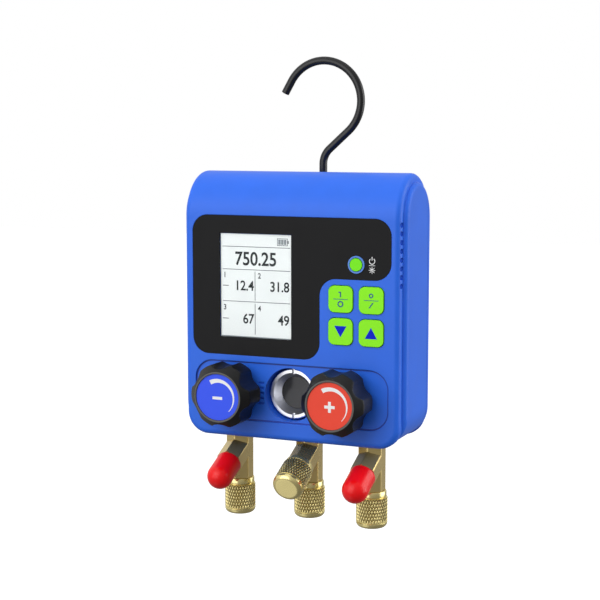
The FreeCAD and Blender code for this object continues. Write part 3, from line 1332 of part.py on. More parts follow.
def port_fitting(name, x, y):
    """Hexagon bar with a lower port and a second port that slants forward."""
    down = Rotation(Vector(1, 0, 0), 180)
    slant = Rotation(Vector(1, 0, 0), 180 - D.branch_angle.number)
    reach_y = sine(D.branch_angle)
    reach_z = cosine(D.branch_angle)

    def place_down(item, distance):
        put(item, x, y, BRANCH_Z - distance, down)

    def place_slant(item, distance):
        put(item, x, y - size(distance) * reach_y, BRANCH_Z - size(distance) * reach_z, slant)

    bar = hexagon(name + "_bar", D.hex_flats, "z", (x, y), HEX_END, BLOCK_BOTTOM - D.fit_gap,
                  corner_up=True)
    neck = cylinder(name + "_neck", D.hex_neck_r, "z", (x, y), BLOCK_BOTTOM - D.fit_gap,
                    BLOCK_BOTTOM + D.hex_neck)
    arm = doc.addObject("Part::Prism", name + "_arm")
    arm.Polygon = 6
    bind(arm, "Circumradius", D.hex_flats / math.sqrt(3))
    bind(arm, "Height", D.branch_length)
    place_slant(arm, 0)
    arm.Placement = Placement(arm.Placement.Base, slant.multiply(Rotation(Vector(0, 0, 1), 30)))
    straight = HEX_END - BRANCH_Z
    ends = port_end(name + "_lower", place_down, -straight)
    ends += port_end(name + "_side", place_slant, D.branch_length)
    blank = fused(name + "_blank", [bar, neck, arm] + ends)

    port_length = D.thread_length + D.flare_length
    main_way = cylinder(name + "_main_way", D.gallery_r, "z", (x, y), HEX_END - port_length,
                        BLOCK_BOTTOM + D.hex_neck)
    side_way = doc.addObject("Part::Cylinder", name + "_side_way")
    bind(side_way, "Radius", D.gallery_r)
    bind(side_way, "Height", D.branch_length + port_length)
    place_slant(side_way, 0)
    piece(cut(name + "_fitting", blank, [main_way, side_way]), f"{name}_port_fitting")


def port_rings():
    rings = []
    for name, (x, y) in port_spots().items():
        ring = doc.addObject("Part::Torus", f"{name}_port_ring")
        bind(ring, "Radius1", D.hex_neck_r + D.seal_ring_r + D.running_fit)
        bind(ring, "Radius2", D.seal_ring_r - D.running_fit)
        rings.append(put(ring, x, y, BLOCK_BOTTOM + D.seal_ring_r - D.running_fit))
    piece(group("port_ring_group", rings), "port_rings")


def brass_cap(name, x, y, z, turn):
    """Closed cap; local Z points out of the port, and the rim is at zero."""
    bore = D.thread_r + D.cap_gap
    gasket_top = D.thread_length + D.flare_length + D.fit_gap * 2 + D.gasket_thick
    depth = gasket_top + D.fit_gap
    shoulder = D.cap_collar + D.cap_groove
    collar_r = D.cap_collar_r
    chamfer = D.cap_groove
    end_r = D.cap_r - D.cap_round
    turned(name + "_cap", [
        (bore, 0), (collar_r - chamfer, 0), (collar_r, chamfer), (collar_r, D.cap_collar),
        (collar_r - D.cap_groove, D.cap_collar), (collar_r - D.cap_groove, shoulder),
        (D.cap_r, shoulder), (D.cap_r, D.cap_length - D.cap_round,
                              (end_r, D.cap_length - D.cap_round, 1)),
        (end_r, D.cap_length), (0, D.cap_length), (0, depth), (bore, depth),
    ], x, y, z, turn)
    gasket = doc.addObject("Part::Cylinder", name + "_gasket_solid")
    bind(gasket, "Radius", D.thread_r)
    bind(gasket, "Height", D.gasket_thick)
    return gasket, gasket_top - D.gasket_thick


def vinyl_cap(name, x, y, z, turn):
    """Round-ended cap; local Z points out of the port, and the rim is at zero."""
    bore = D.thread_r + D.vinyl_fit
    depth = D.thread_length + D.flare_length + D.key_gap
    dome = D.vinyl_length - D.vinyl_r
    turned(name, [
        (bore, 0), (D.vinyl_r, 0), (D.vinyl_r, dome, (0, dome, 1)), (0, D.vinyl_length),
        (0, depth), (bore, depth),
    ], x, y, z, turn)


def ports():
    down = Rotation(Vector(1, 0, 0), 180)
    slant = Rotation(Vector(1, 0, 0), 180 - D.branch_angle.number)
    reach_y = sine(D.branch_angle)
    reach_z = cosine(D.branch_angle)
    rim = D.branch_length + D.fit_gap
    for name, (x, y) in port_spots().items():
        port_fitting(name, x, y)
        cap_z = HEX_END - D.fit_gap
        gasket, seat = brass_cap(name + "_port", x, y, cap_z, down)
        put(gasket, x, y, cap_z - seat, down)
        piece(gasket, f"{name}_cap_gasket")
        side_y = y - rim * reach_y
        side_z = BRANCH_Z - rim * reach_z
        if name == "centre":
            gasket, seat = brass_cap("side_port", x, side_y, side_z, slant)
            put(gasket, x, side_y - seat * reach_y, side_z - seat * reach_z, slant)
            piece(gasket, "side_cap_gasket")
        else:
            vinyl_cap(f"{name}_vinyl_cap", x, side_y, side_z, slant)
    port_rings()


def hook():
    """Round rod: shank in the boss, bend, straight run, large bend and straight tip."""
    rod_r = D.hook_rod_d / 2
    r = D.hook_bend_r
    centre_z = rod_r - r
    slant = D.hook_slant
    wrap = D.hook_wrap
    cross_z = centre_z - r / sine(slant)
    shift = D.hook_root_bend_r * tangent(slant / 2)
    bend_start = cross_z - shift
    foot_x = shift * sine(slant)
    foot_z = cross_z + shift * cosine(slant)
    knee_x = r * cosine(slant)
    knee_z = centre_z - r * sine(slant)
    turn_x = r * cosine(wrap)
    turn_z = centre_z + r * sine(wrap)
    tip_x = turn_x - D.hook_tip * sine(wrap)
    tip_z = turn_z + D.hook_tip * cosine(wrap)
    shank_end = BOSS_BOTTOM - D.clip_room * 2 / 3

    body = new_body("hook")
    path = body.newObject("Sketcher::SketchObject", "hook_path")
    plane = [item for item in body.Origin.OriginFeatures if item.Role == "XZ_Plane"][0]
    path.AttachmentSupport = [(plane, "")]
    path.MapMode = "FlatFace"
    outline(path, [
        (0, shank_end), (0, bend_start, (D.hook_root_bend_r, bend_start, -1)),
        (foot_x, foot_z), (knee_x, knee_z, (0, centre_z, 1)), (turn_x, turn_z), (tip_x, tip_z),
    ], closed=False)
    section = new_sketch(body, "hook_section", "XY_Plane", shank_end)
    circle(section, 0, 0, rod_r)
    pipe = body.newObject("PartDesign::AdditivePipe", "hook_rod")
    pipe.Profile = section
    pipe.Spine = path
    groove_z = BOSS_BOTTOM - D.clip_thick - D.fit_gap * 2
    sketch = new_sketch(body, "clip_groove_profile", "XZ_Plane")
    rectangle(sketch, (rod_r - D.clip_groove, rod_r + 1),
              (groove_z - D.clip_thick - D.fit_gap, groove_z))
    groove = body.newObject("PartDesign::Groove", "clip_groove")
    groove.Profile = sketch
    groove.ReferenceAxis = (sketch, ["V_Axis"])
    groove.Angle = 360
    piece(body, "hook")

    washer = cylinder("washer_blank", D.clip_r, "z", (0, 0), BOSS_BOTTOM - D.fit_gap - D.clip_thick,
                      BOSS_BOTTOM - D.fit_gap)
    hole = cylinder("washer_hole", rod_r + D.hook_fit, "z", (0, 0),
                    BOSS_BOTTOM - D.fit_gap - D.clip_thick, BOSS_BOTTOM - D.fit_gap)
    piece(cut("washer_solid", washer, [hole]), "hook_washer")
    clip_top = groove_z - D.fit_gap / 2
    clip = cylinder("clip_blank", D.clip_r - D.clip_thick, "z", (0, 0), clip_top - D.clip_thick,
                    clip_top)
    hole = cylinder("clip_hole", rod_r - D.clip_groove + D.running_fit, "z", (0, 0),
                    clip_top - D.clip_thick, clip_top)
    mouth = box("clip_mouth", (-D.clip_thick, D.clip_thick), (0, D.clip_r),
                (clip_top - D.clip_thick, clip_top))
    piece(cut("clip_solid", clip, [hole, mouth]), "hook_retaining_ring")


def check_all():
    """Stop if an object failed or a piece has no valid solid."""
    doc.recompute()
    for item in doc.Objects:
        if "Invalid" in item.State or "Error" in item.State:
            raise ValueError(f"{item.Name} failed: {item.State}")
    for item in pieces:
        shape = item.Shape
        if shape.isNull() or not shape.isValid() or not shape.Solids:
            raise ValueError(f"{item.Label} has no valid solid")


def export_all():
    os.makedirs("parts", exist_ok=True)
    for item in pieces:
        item.Shape.exportStep(f"parts/{item.Label}.step")


def main():
    front_shell()
    rear_shell()
    battery_door()
    cells()
    contacts()
    fascia()
    display()
    main_board()
    buttons()
    manifold_block()
    case_screws()
    sensor("low_pressure_sensor", -1)
    sensor("high_pressure_sensor", 1)
    sight_glass()
    valve("low", -1)
    valve("high", 1)
    ports()
    hook()
    check_all()
    export_all()
    print(len(pieces), "pieces")


main()
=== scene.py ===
import json
import math

import bmesh
import bpy
from mathutils import Matrix, Vector


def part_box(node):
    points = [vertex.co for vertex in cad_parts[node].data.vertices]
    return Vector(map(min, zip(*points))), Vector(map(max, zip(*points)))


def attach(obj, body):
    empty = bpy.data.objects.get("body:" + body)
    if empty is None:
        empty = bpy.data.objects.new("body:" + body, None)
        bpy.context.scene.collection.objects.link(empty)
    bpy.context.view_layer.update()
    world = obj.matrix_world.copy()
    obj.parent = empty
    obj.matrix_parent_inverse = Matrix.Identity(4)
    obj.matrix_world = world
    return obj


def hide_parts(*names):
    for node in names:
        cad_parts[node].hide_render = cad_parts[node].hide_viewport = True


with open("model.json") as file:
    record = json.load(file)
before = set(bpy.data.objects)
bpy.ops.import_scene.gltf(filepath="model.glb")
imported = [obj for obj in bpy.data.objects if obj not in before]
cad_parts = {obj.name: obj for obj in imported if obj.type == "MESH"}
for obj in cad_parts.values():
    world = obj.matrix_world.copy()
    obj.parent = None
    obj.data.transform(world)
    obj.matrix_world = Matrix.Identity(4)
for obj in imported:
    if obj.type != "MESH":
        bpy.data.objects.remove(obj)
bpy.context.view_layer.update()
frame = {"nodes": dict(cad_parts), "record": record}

# Lengths are in millimetres up to the helpers, which turn them into metres.
MM = 0.001
scene = bpy.context.scene
nodes = frame["nodes"]


def node_box(name):
    """Lowest and highest corner of a CAD node, in millimetres."""
    low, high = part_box(name)
    return low / MM, high / MM


def node_middle(name):
    """Middle of a CAD node's box, in millimetres."""
    low, high = node_box(name)
    return (low + high) / 2


CASE_FRONT = node_box("front_shell")[0].y
BRANCH_ANGLE = math.radians(65)
SLANT = Vector((0, -math.sin(BRANCH_ANGLE), -math.cos(BRANCH_ANGLE)))
DOWN = Vector((0, 0, -1))
BACKWARD = Vector((0, 1, 0))


# Materials

def srgb(red, green, blue):
    """Linear colour of an 8-bit screen colour."""
    def linear(value):
        value /= 255
        return value / 12.92 if value <= 0.04045 else ((value + 0.055) / 1.055) ** 2.4
    return (linear(red), linear(green), linear(blue), 1)


def shade(colour, factor):
    """The colour made darker or lighter by a factor."""
    return tuple(min(1, c * factor) for c in colour[:3]) + (1,)


def look(name, colour, roughness, metallic=0.0, vary=0.05, patch=14.0, grain=0.25, bump=0.015,
         rough_vary=0.05, edge=0.25, **inputs):
    """Material with patches of slightly different tone, a fine grain and softened edges.
    patch, grain, bump and edge are lengths in millimetres."""
    material = bpy.data.materials.new(name)
    material.use_nodes = True
    tree = material.node_tree
    shader = tree.nodes["Principled BSDF"]
    where = tree.nodes.new("ShaderNodeTexCoord").outputs["Object"]

    patches = tree.nodes.new("ShaderNodeTexNoise")
    patches.inputs["Scale"].default_value = 1 / (patch * MM)
    patches.inputs["Detail"].default_value = 4
    tree.links.new(where, patches.inputs["Vector"])
    tones = tree.nodes.new("ShaderNodeValToRGB")
    tones.color_ramp.elements[0].position = 0.3
    tones.color_ramp.elements[1].position = 0.7
    tones.color_ramp.elements[0].color = shade(colour, 1 - vary)
    tones.color_ramp.elements[1].color = shade(colour, 1 + vary)
    tree.links.new(patches.outputs["Fac"], tones.inputs["Fac"])
    tree.links.new(tones.outputs["Color"], shader.inputs["Base Color"])

    spread = tree.nodes.new("ShaderNodeMapRange")
    spread.inputs["To Min"].default_value = max(0.02, roughness - rough_vary)
    spread.inputs["To Max"].default_value = min(1, roughness + rough_vary)
    tree.links.new(patches.outputs["Fac"], spread.inputs["Value"])
    tree.links.new(spread.outputs["Result"], shader.inputs["Roughness"])

    grains = tree.nodes.new("ShaderNodeTexNoise")
    grains.inputs["Scale"].default_value = 1 / (grain * MM)
    grains.inputs["Detail"].default_value = 3
    tree.links.new(where, grains.inputs["Vector"])
    relief = tree.nodes.new("ShaderNodeBump")
    relief.inputs["Strength"].default_value = 0.6
    relief.inputs["Distance"].default_value = bump * MM
    tree.links.new(grains.outputs["Fac"], relief.inputs["Height"])
    if edge:
        soft = tree.nodes.new("ShaderNodeBevel")
        soft.samples = 4
        soft.inputs["Radius"].default_value = edge * MM
        tree.links.new(soft.outputs["Normal"], relief.inputs["Normal"])
    tree.links.new(relief.outputs["Normal"], shader.inputs["Normal"])

    shader.inputs["Metallic"].default_value = metallic
    for key, value in inputs.items():
        shader.inputs[key.replace("_", " ")].default_value = value
    return material


def tint(material, share, colour):
    """Lay a second colour over the material's own, by a socket that runs from 0 to 1."""
    tree = material.node_tree
    base = tree.nodes["Principled BSDF"].inputs["Base Color"]
    mix = tree.nodes.new("ShaderNodeMix")
    mix.data_type = "RGBA"
    mix.inputs["B"].default_value = colour
    tree.links.new(share, mix.inputs["Factor"])
    tree.links.new(base.links[0].from_socket, mix.inputs["A"])
    tree.links.new(mix.outputs["Result"], base)


LOOKS = {
    "case_blue": look("case_plastic", srgb(44, 108, 232), 0.42, vary=0.03, bump=0.008, grain=0.3,
                      edge=0.5, Specular_IOR_Level=0.25),
    "fascia_black": look("fascia_film", srgb(38, 38, 39), 0.6, vary=0.04, bump=0.004, edge=0.1,
                         Specular_IOR_Level=0.04),
    "clear_window": look("window_acrylic", srgb(236, 241, 243), 0.04, vary=0.01, bump=0.0005,
                         rough_vary=0.01, edge=0, Transmission_Weight=1.0, IOR=1.05),
    "display_face": look("display_panel", srgb(228, 224, 220), 0.5, vary=0.012, patch=30,
                         bump=0.001, edge=0, Emission_Color=(1, 1, 1, 1),
                         Emission_Strength=0.06),
    "key_lime": look("key_rubber", srgb(146, 250, 30), 0.5, vary=0.02, bump=0.006, grain=0.15,
                     edge=0.4, Specular_IOR_Level=0.2),
    "power_green": look("power_plastic", srgb(126, 244, 30), 0.35, vary=0.02, bump=0.002,
                        Specular_IOR_Level=0.12),
    "ring_blue": look("ring_plastic", srgb(72, 128, 216), 0.3, vary=0.02, bump=0.002),
    "knob_black": look("knob_plastic", srgb(22, 22, 23), 0.4, vary=0.10, bump=0.015, grain=0.2,
                       edge=0.9, Specular_IOR_Level=0.3),
    "disc_blue": look("disc_blue_print", srgb(60, 92, 250), 0.35, vary=0.02, bump=0.002,
                      Specular_IOR_Level=0.15),
    "disc_red": look("disc_red_print", srgb(242, 76, 56), 0.35, vary=0.02, bump=0.002,
                     Specular_IOR_Level=0.15),
    "brass": look("fitting_brass", srgb(222, 198, 132), 0.28, metallic=0.8, vary=0.05,
                  bump=0.001, grain=0.12, edge=0),
    "cap_brass": look("cap_brass", srgb(240, 224, 156), 0.24, metallic=0.86, vary=0.06,
                      bump=0.001, grain=0.1, edge=0.1),
    "vinyl_red": look("cap_vinyl", srgb(244, 8, 16), 0.3, vary=0.04, bump=0.008, grain=1.5,
                      edge=0.2, Specular_IOR_Level=0.35),
    "hook_black": look("hook_coating", srgb(16, 16, 18), 0.28, vary=0.08, bump=0.002, grain=0.4,
                       Specular_IOR_Level=0.45),
    "chrome": look("bezel_chrome", srgb(232, 233, 238), 0.3, metallic=1, vary=0.02, bump=0.001,
                   edge=0.1),
    "sight_dark": look("sight_lens", srgb(58, 58, 60), 0.1, vary=0.04, bump=0.0005, edge=0.5,
                       Specular_IOR_Level=0.25),
    "inner_plastic": look("holder_plastic", srgb(70, 70, 74), 0.55, vary=0.05),
    "board_green": look("board_mask", srgb(24, 104, 58), 0.35, vary=0.12, patch=6),
    "switch_black": look("switch_plastic", srgb(44, 44, 44), 0.5, vary=0.05),
    "steel": look("plated_steel", srgb(190, 192, 196), 0.28, metallic=1, vary=0.06, bump=0.004),
    "alloy": look("block_alloy", srgb(196, 198, 202), 0.4, metallic=1, vary=0.05, bump=0.01),
    "cell_wrap": look("cell_sleeve", srgb(92, 96, 102), 0.3, vary=0.05, Coat_Weight=0.4),
    "seal_rubber": look("seal_rubber", srgb(30, 30, 30), 0.7, vary=0.08, bump=0.01),
    "seat_polymer": look("seat_polymer", srgb(228, 228, 222), 0.5, vary=0.03),
}
PRINT_WHITE = look("print_white", srgb(244, 245, 246), 0.5, vary=0.01, bump=0.001, edge=0)
PRINT_INK = look("print_ink", srgb(12, 12, 13), 0.5, vary=0.06, bump=0.001, edge=0)
# Grey for the battery's charge bars, which are print, and for the painted highlight on the
# display's left and lower edge
PRINT_GREY_AND_EDGE_HIGHLIGHT = look("print_grey_and_edge_highlight", srgb(130, 132, 134), 0.5, vary=0.03, bump=0.001, edge=0)
PRINT_GREY = look("print_grey", srgb(84, 86, 88), 0.5, vary=0.03, bump=0.001, edge=0)
PRINT_BLUE = look("print_blue", srgb(2, 38, 206), 0.5, vary=0.03, bump=0.001, edge=0,
                  Specular_IOR_Level=0.1)
PRINT_TEAL = look("print_teal", srgb(16, 92, 120), 0.5, vary=0.03, bump=0.001, edge=0)
# Dark blue of the painted shade along the step of the recess behind the knobs
RECESS_SHADE_BLUE = look("recess_shade_blue", srgb(20, 62, 168), 0.6, vary=0.03, bump=0.001, edge=0)
# Dark steel of the painted shade in the screws' cross recesses
SCREW_RECESS_SHADE = look("screw_recess_shade", srgb(40, 41, 43), 0.5, metallic=1, vary=0.05, edge=0)

for entry in frame["record"]["subparts"]:
    for slot in nodes[entry["node"]].material_slots:
        slot.material = LOOKS[entry["material_slot"]]


# Building pieces

def place(origin, direction):
    """Place with local Z along direction and local X along X."""
    z = Vector(direction).normalized()
    x = Vector((1, 0, 0))
    y = z.cross(x)
    turn = Matrix((x, y, z)).transposed().to_4x4()
    return Matrix.Translation(Vector(origin)) @ turn


def piece(name, verts, faces, body, material, at, sharp=35):
    """Mesh piece from points in millimetres, which lie in the local axes of the place at."""
    mesh = bpy.data.meshes.new(name)
    mesh.from_pydata([(at @ Vector(v)) * MM for v in verts], [], faces)
    mesh.validate()
    mesh.polygons.foreach_set("use_smooth", [True] * len(mesh.polygons))
    mesh.set_sharp_from_angle(angle=math.radians(sharp))
    mesh.materials.append(material)
    obj = bpy.data.objects.new(name, mesh)
    scene.collection.objects.link(obj)
    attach(obj, body)
    return obj


def lathe_mesh(rows, count, radius=None):
    """Rings for each (r, z); a row at r = 0 is a single point. radius(r, turn, z) can
    change a ring's radius."""
    verts, rings = [], []
    for r, z in rows:
        if r == 0:
            rings.append([len(verts)])
            verts.append((0, 0, z))
            continue
        ring = []
        for step in range(count):
            turn = 2 * math.pi * step / count
            reach = radius(r, turn, z) if radius else r
            ring.append(len(verts))
            verts.append((reach * math.cos(turn), reach * math.sin(turn), z))
        rings.append(ring)
    faces = []
    for low, high in zip(rings, rings[1:]):
        for step in range(count):
            after = (step + 1) % count
            if len(low) == 1:
                faces.append((low[0], high[after], high[step]))
            elif len(high) == 1:
                faces.append((low[step], low[after], high[0]))
            else:
                faces.append((low[step], low[after], high[after], high[step]))
    return verts, faces


def flat_mesh(loops, thick):
    """Plates with the given outlines in local X and Y, from Z 0 to thick."""
    verts, faces = [], []
    for loop in loops:
        start, count = len(verts), len(loop)
        verts += [(x, y, 0) for x, y in loop] + [(x, y, thick) for x, y in loop]
        faces.append(tuple(start + i for i in reversed(range(count))))
        faces.append(tuple(start + count + i for i in range(count)))
        for i in range(count):
            j = (i + 1) % count
            faces.append((start + i, start + j, start + count + j, start + count + i))
    return verts, faces


def bar(x0, y0, x1, y1):
    """Outline of a rectangle."""
    return [(x0, y0), (x1, y0), (x1, y1), (x0, y1)]


def band(r_start, r_end, half_start, half_end, start, end, steps=40, cy=0.0):
    """Outline of an arc round (0, cy) from the angle start to the angle end, whose radius and
    half width change along it."""
    outer, inner = [], []
    for i in range(steps + 1):
        t = i / steps
        turn = math.radians(start + (end - start) * t)
        r = r_start + (r_end - r_start) * t
        half = half_start + (half_end - half_start) * t
        outer.append(((r + half) * math.cos(turn), cy + (r + half) * math.sin(turn)))
        inner.append(((r - half) * math.cos(turn), cy + (r - half) * math.sin(turn)))
    return outer + inner[::-1]


PRINT = 0.03
FONT_BOLD = 0.02
DIGIT_TALL = 0.73
DIGIT_WIDTH = 0.9


def print_on(name, loops, body, material, at):
    """Thin print with its outlines in local X and Y; local Z faces the viewer."""
    verts, faces = flat_mesh(loops, PRINT)
    return piece(name, verts, faces, body, material, at, sharp=20)


def facing(x, y, z):
    """Place on a front face: local Y up and local Z out of the front."""
    turn = Matrix(((1, 0, 0), (0, 0, -1), (0, 1, 0))).to_4x4()
    return Matrix.Translation(Vector((x, y, z))) @ turn


def words(name, text, height, x, z, y, body, material, align, width):
    """Digits, height millimetres tall, with their foot at z. DIGIT_TALL is how tall the
    font's digits are at size 1, and FONT_BOLD how far their outline is widened."""
    curve = bpy.data.curves.new(name + "_font", "FONT")
    curve.body = text
    curve.size = 1
    curve.align_x = align
    curve.offset = FONT_BOLD
    source = bpy.data.objects.new(name + "_font", curve)
    scene.collection.objects.link(source)
    mesh = bpy.data.meshes.new_from_object(source)
    bpy.data.objects.remove(source)
    scale = height / DIGIT_TALL
    verts = [(v.co.x * scale * width, v.co.y * scale, PRINT) for v in mesh.vertices]
    faces = [tuple(p.vertices) for p in mesh.polygons]
    bpy.data.meshes.remove(mesh)
    return piece(name, verts, faces, body, material, facing(x, y, z), sharp=20)


# Knurled brass caps

CAP_LENGTH = 18.5
CAP_R = 7.8
CAP_BORE_R = 5.85
CAP_BORE_DEPTH = 14.2
CAP_ROUND = 2.6
COLLAR_LENGTH = 2.8
COLLAR_R = 7.25
GROOVE_R = 6.75
GROOVE_END = 3.3
KNURL_END = 15.2
KNURL_COUNT = 34
KNURL_TALL = 3.25
KNURL_DEPTH = 0.42
KNURL_GROOVE = 0.5
KNURL_STEPS = 12
KNURL_ROWS = 66
KNURL_FADE = 0.3
SMALL_BREAK = 0.4
# Painted shade: darker brass laid into the knurl's grooves, darkest at their bottom
GROOVE_SHADE_BRASS = srgb(146, 126, 74)


def ridge(value):
    """0 in a groove of the knurl and 1 between two grooves."""
    return 1 - abs(2 * (value % 1) - 1)


def knurl_radius(r, turn, z):
    """Diamonds between two sets of crossing grooves."""
    if not GROOVE_END < z < KNURL_END or r < CAP_R - 0.01:
        return r
    around = KNURL_COUNT * turn / (2 * math.pi)
    along = (z - GROOVE_END) / KNURL_TALL
    height = min(1, min(ridge(around + along), ridge(around - along)) / KNURL_GROOVE)
    fade = min(1, (z - GROOVE_END) / KNURL_FADE, (KNURL_END - z) / KNURL_FADE)
    return r - KNURL_DEPTH * (1 - height) * fade


def cap_rows():
    """Profile from the bottom of the bore, over collar, groove and knurl, to the round end."""
    rows = [(0, CAP_BORE_DEPTH), (CAP_BORE_R, CAP_BORE_DEPTH), (CAP_BORE_R, 0.3),
            (CAP_BORE_R + 0.3, 0), (COLLAR_R - SMALL_BREAK, 0), (COLLAR_R - 0.12, 0.1),
            (COLLAR_R, SMALL_BREAK), (COLLAR_R, COLLAR_LENGTH - 0.2),
            (COLLAR_R - 0.15, COLLAR_LENGTH), (GROOVE_R, COLLAR_LENGTH + 0.1),
            (GROOVE_R, GROOVE_END - 0.1), (CAP_R - SMALL_BREAK, GROOVE_END)]
    start = GROOVE_END + 0.05
    rows += [(CAP_R, start + (KNURL_END - start) * i / KNURL_ROWS)
             for i in range(KNURL_ROWS + 1)]
    rows += [(CAP_R - 0.35, KNURL_END + 0.15), (CAP_R - 0.35, KNURL_END + 0.4),
             (CAP_R - 0.08, KNURL_END + 0.6)]
    for i in range(9):
        turn = math.radians(90 * i / 8)
        rows.append((CAP_R - CAP_ROUND + CAP_ROUND * math.cos(turn),
                     CAP_LENGTH - CAP_ROUND + CAP_ROUND * math.sin(turn)))
    return rows + [(CAP_R - CAP_ROUND - 0.6, CAP_LENGTH), (0, CAP_LENGTH)]


def brass_cap(node, body, direction):
    """Knurled cap in place of a CAD cap; the attribute groove says how deep a point lies, for
    painted shade.
    """
    rim = node_middle(node) - direction * CAP_LENGTH / 2
    verts, faces = lathe_mesh(cap_rows(), KNURL_COUNT * KNURL_STEPS, knurl_radius)
    obj = piece(node + "_knurled", verts, faces, body, LOOKS["cap_brass"],
                place(rim, direction), sharp=30)
    depth = obj.data.attributes.new("groove", "FLOAT", "POINT")
    for i, (x, y, z) in enumerate(verts):
        sunk = CAP_R - math.hypot(x, y)
        if GROOVE_END + 0.1 < z < KNURL_END and sunk < KNURL_DEPTH + 0.01:
            depth.data[i].value = sunk / KNURL_DEPTH
    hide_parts(node)


def paint_groove_shade(material):
    """Painted shade: a darker tone in the grooves of the knurl, by the attribute groove."""
    depth = material.node_tree.nodes.new("ShaderNodeAttribute")
    depth.attribute_name = "groove"
    tint(material, depth.outputs["Fac"], GROOVE_SHADE_BRASS)


# Painted shade in the grooves of the knurled caps
paint_groove_shade(LOOKS["cap_brass"])
for node in ("low_port_cap", "centre_port_cap", "high_port_cap"):
    brass_cap(node, node + "_body", DOWN)
brass_cap("side_port_cap", "side_port_cap_body", SLANT)


# Port fittings: the same solids with broken edges and threads

PORT_R = 5.55
PORT_WALL = 16
THREAD_PITCH = 1.27
THREAD_START = 1.8
THREAD_END = 10.2
THREAD_DEEP = 0.6
# One turn from crest to crest: shares of the pitch on each side of the root's middle
ROOT_SHARE = 0.1
CREST_SHARE = 0.42
BROKEN_EDGE = 0.45
SHORTEST_BROKEN = 2.5


def cut_thread(solid, axis):
    """Rings of a thread in the wall of the port that ends farthest along axis."""
    far = max(vert.co.dot(axis) for vert in solid.verts)
    rim = [vert.co for vert in solid.verts if far - vert.co.dot(axis) < 0.01 * MM]
    end = sum(rim, Vector()) / len(rim)

    def reach(spot):
        along = (spot - end).dot(axis)
        return along, spot - end - along * axis

    wall = [face for face in solid.faces
            if all(abs(reach(vert.co)[1].length - PORT_R * MM) < 0.02 * MM
                   and -PORT_WALL * MM < reach(vert.co)[0] for vert in face.verts)]
    edges = dict.fromkeys(edge for face in wall for edge in face.edges)
    corners = dict.fromkeys(vert for face in wall for vert in face.verts)
    geom = [*wall, *edges, *corners]
    rings = []
    for turn in range(int((THREAD_END - THREAD_START) / THREAD_PITCH)):
        middle = THREAD_START + (turn + 0.5) * THREAD_PITCH
        for share, deep in ((-CREST_SHARE, 0), (-ROOT_SHARE, THREAD_DEEP),
                            (ROOT_SHARE, THREAD_DEEP), (CREST_SHARE, 0)):
            spot = end - axis * (middle + share * THREAD_PITCH) * MM
            cut = bmesh.ops.bisect_plane(solid, geom=geom, dist=1e-7, plane_co=spot,
                                         plane_no=axis)
            geom = cut["geom"]
            rings.append(([g for g in cut["geom_cut"] if isinstance(g, bmesh.types.BMVert)], deep))
    for ring, deep in rings:
        for vert in ring:
            vert.co -= reach(vert.co)[1].normalized() * deep * MM


def fitting(side):
    """Copy of a CAD fitting with broken corners on its bars and threads on both ports."""
    node = nodes[f"{side}_port_fitting"]
    solid = bmesh.new()
    solid.from_mesh(node.data)
    solid.transform(node.matrix_world)
    bmesh.ops.remove_doubles(solid, verts=solid.verts, dist=0.001 * MM)
    bmesh.ops.dissolve_limit(solid, angle_limit=math.radians(0.3), verts=solid.verts,
                             edges=solid.edges)
    solid.normal_update()
    # The corners of a hexagon bar turn by 60 degrees.
    corners = [edge for edge in solid.edges if len(edge.link_faces) == 2
               and edge.calc_length() > SHORTEST_BROKEN * MM and edge.is_convex
               and math.radians(50) < edge.calc_face_angle() < math.radians(70)]
    bmesh.ops.bevel(solid, geom=corners, offset=BROKEN_EDGE * MM, segments=2, profile=0.5,
                    affect="EDGES", clamp_overlap=True)
    cut_thread(solid, DOWN)
    cut_thread(solid, SLANT)
    mesh = bpy.data.meshes.new(f"{side}_port_fitting_broken_edges")
    solid.to_mesh(mesh)
    solid.free()
    # The normals stored with the CAD mesh don't fit the new faces.
    if "custom_normal" in mesh.attributes:
        mesh.attributes.remove(mesh.attributes["custom_normal"])
    mesh.materials.clear()
    mesh.materials.append(LOOKS["brass"])
    mesh.polygons.foreach_set("material_index", [0] * len(mesh.polygons))
    mesh.polygons.foreach_set("use_smooth", [True] * len(mesh.polygons))
    mesh.set_sharp_from_angle(angle=math.radians(12))
    obj = bpy.data.objects.new(mesh.name, mesh)
    scene.collection.objects.link(obj)
    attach(obj, "case")
    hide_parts(f"{side}_port_fitting")


for side in ("low", "centre", "high"):
    fitting(side)


# Red vinyl caps

VINYL_R = 6.45
VINYL_LENGTH = 17.8
VINYL_BORE_R = 5.63
VINYL_BORE_DEPTH = 12.6
VINYL_TIP_R = 1.5


def vinyl_cap(node, body):
    """Dipped cap: rolled rim, slightly swollen wall and a dome with a small flat tip."""
    low = node_box(node)[0]
    dome = VINYL_LENGTH - VINYL_R
    rows = [(0, VINYL_BORE_DEPTH), (VINYL_BORE_R, VINYL_BORE_DEPTH), (VINYL_BORE_R, 0.3),
            (VINYL_BORE_R + 0.15, 0.05), (VINYL_R - 0.25, 0), (VINYL_R - 0.06, 0.12),
            (VINYL_R, 0.4), (VINYL_R, 1.2), (VINYL_R - 0.05, 1.7), (VINYL_R - 0.05, dome * 0.6),
            (VINYL_R, dome)]
    for i in range(1, 15):
        turn = math.radians(76 * i / 14)
        rows.append((VINYL_R * math.cos(turn), dome + VINYL_R * math.sin(turn)))
    rows += [(VINYL_TIP_R * 0.85, VINYL_LENGTH - 0.1), (0, VINYL_LENGTH - 0.08)]
    # The dome's centre is VINYL_R from the lowest and the foremost point of the cap.
    centre = Vector((node_middle(node).x, low.y + VINYL_R, low.z + VINYL_R))
    rim = centre - SLANT * dome
    verts, faces = lathe_mesh(rows, 64)
    obj = piece(node + "_dipped", verts, faces, body, LOOKS["vinyl_red"],
                place(rim, SLANT), sharp=40)
    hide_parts(node)


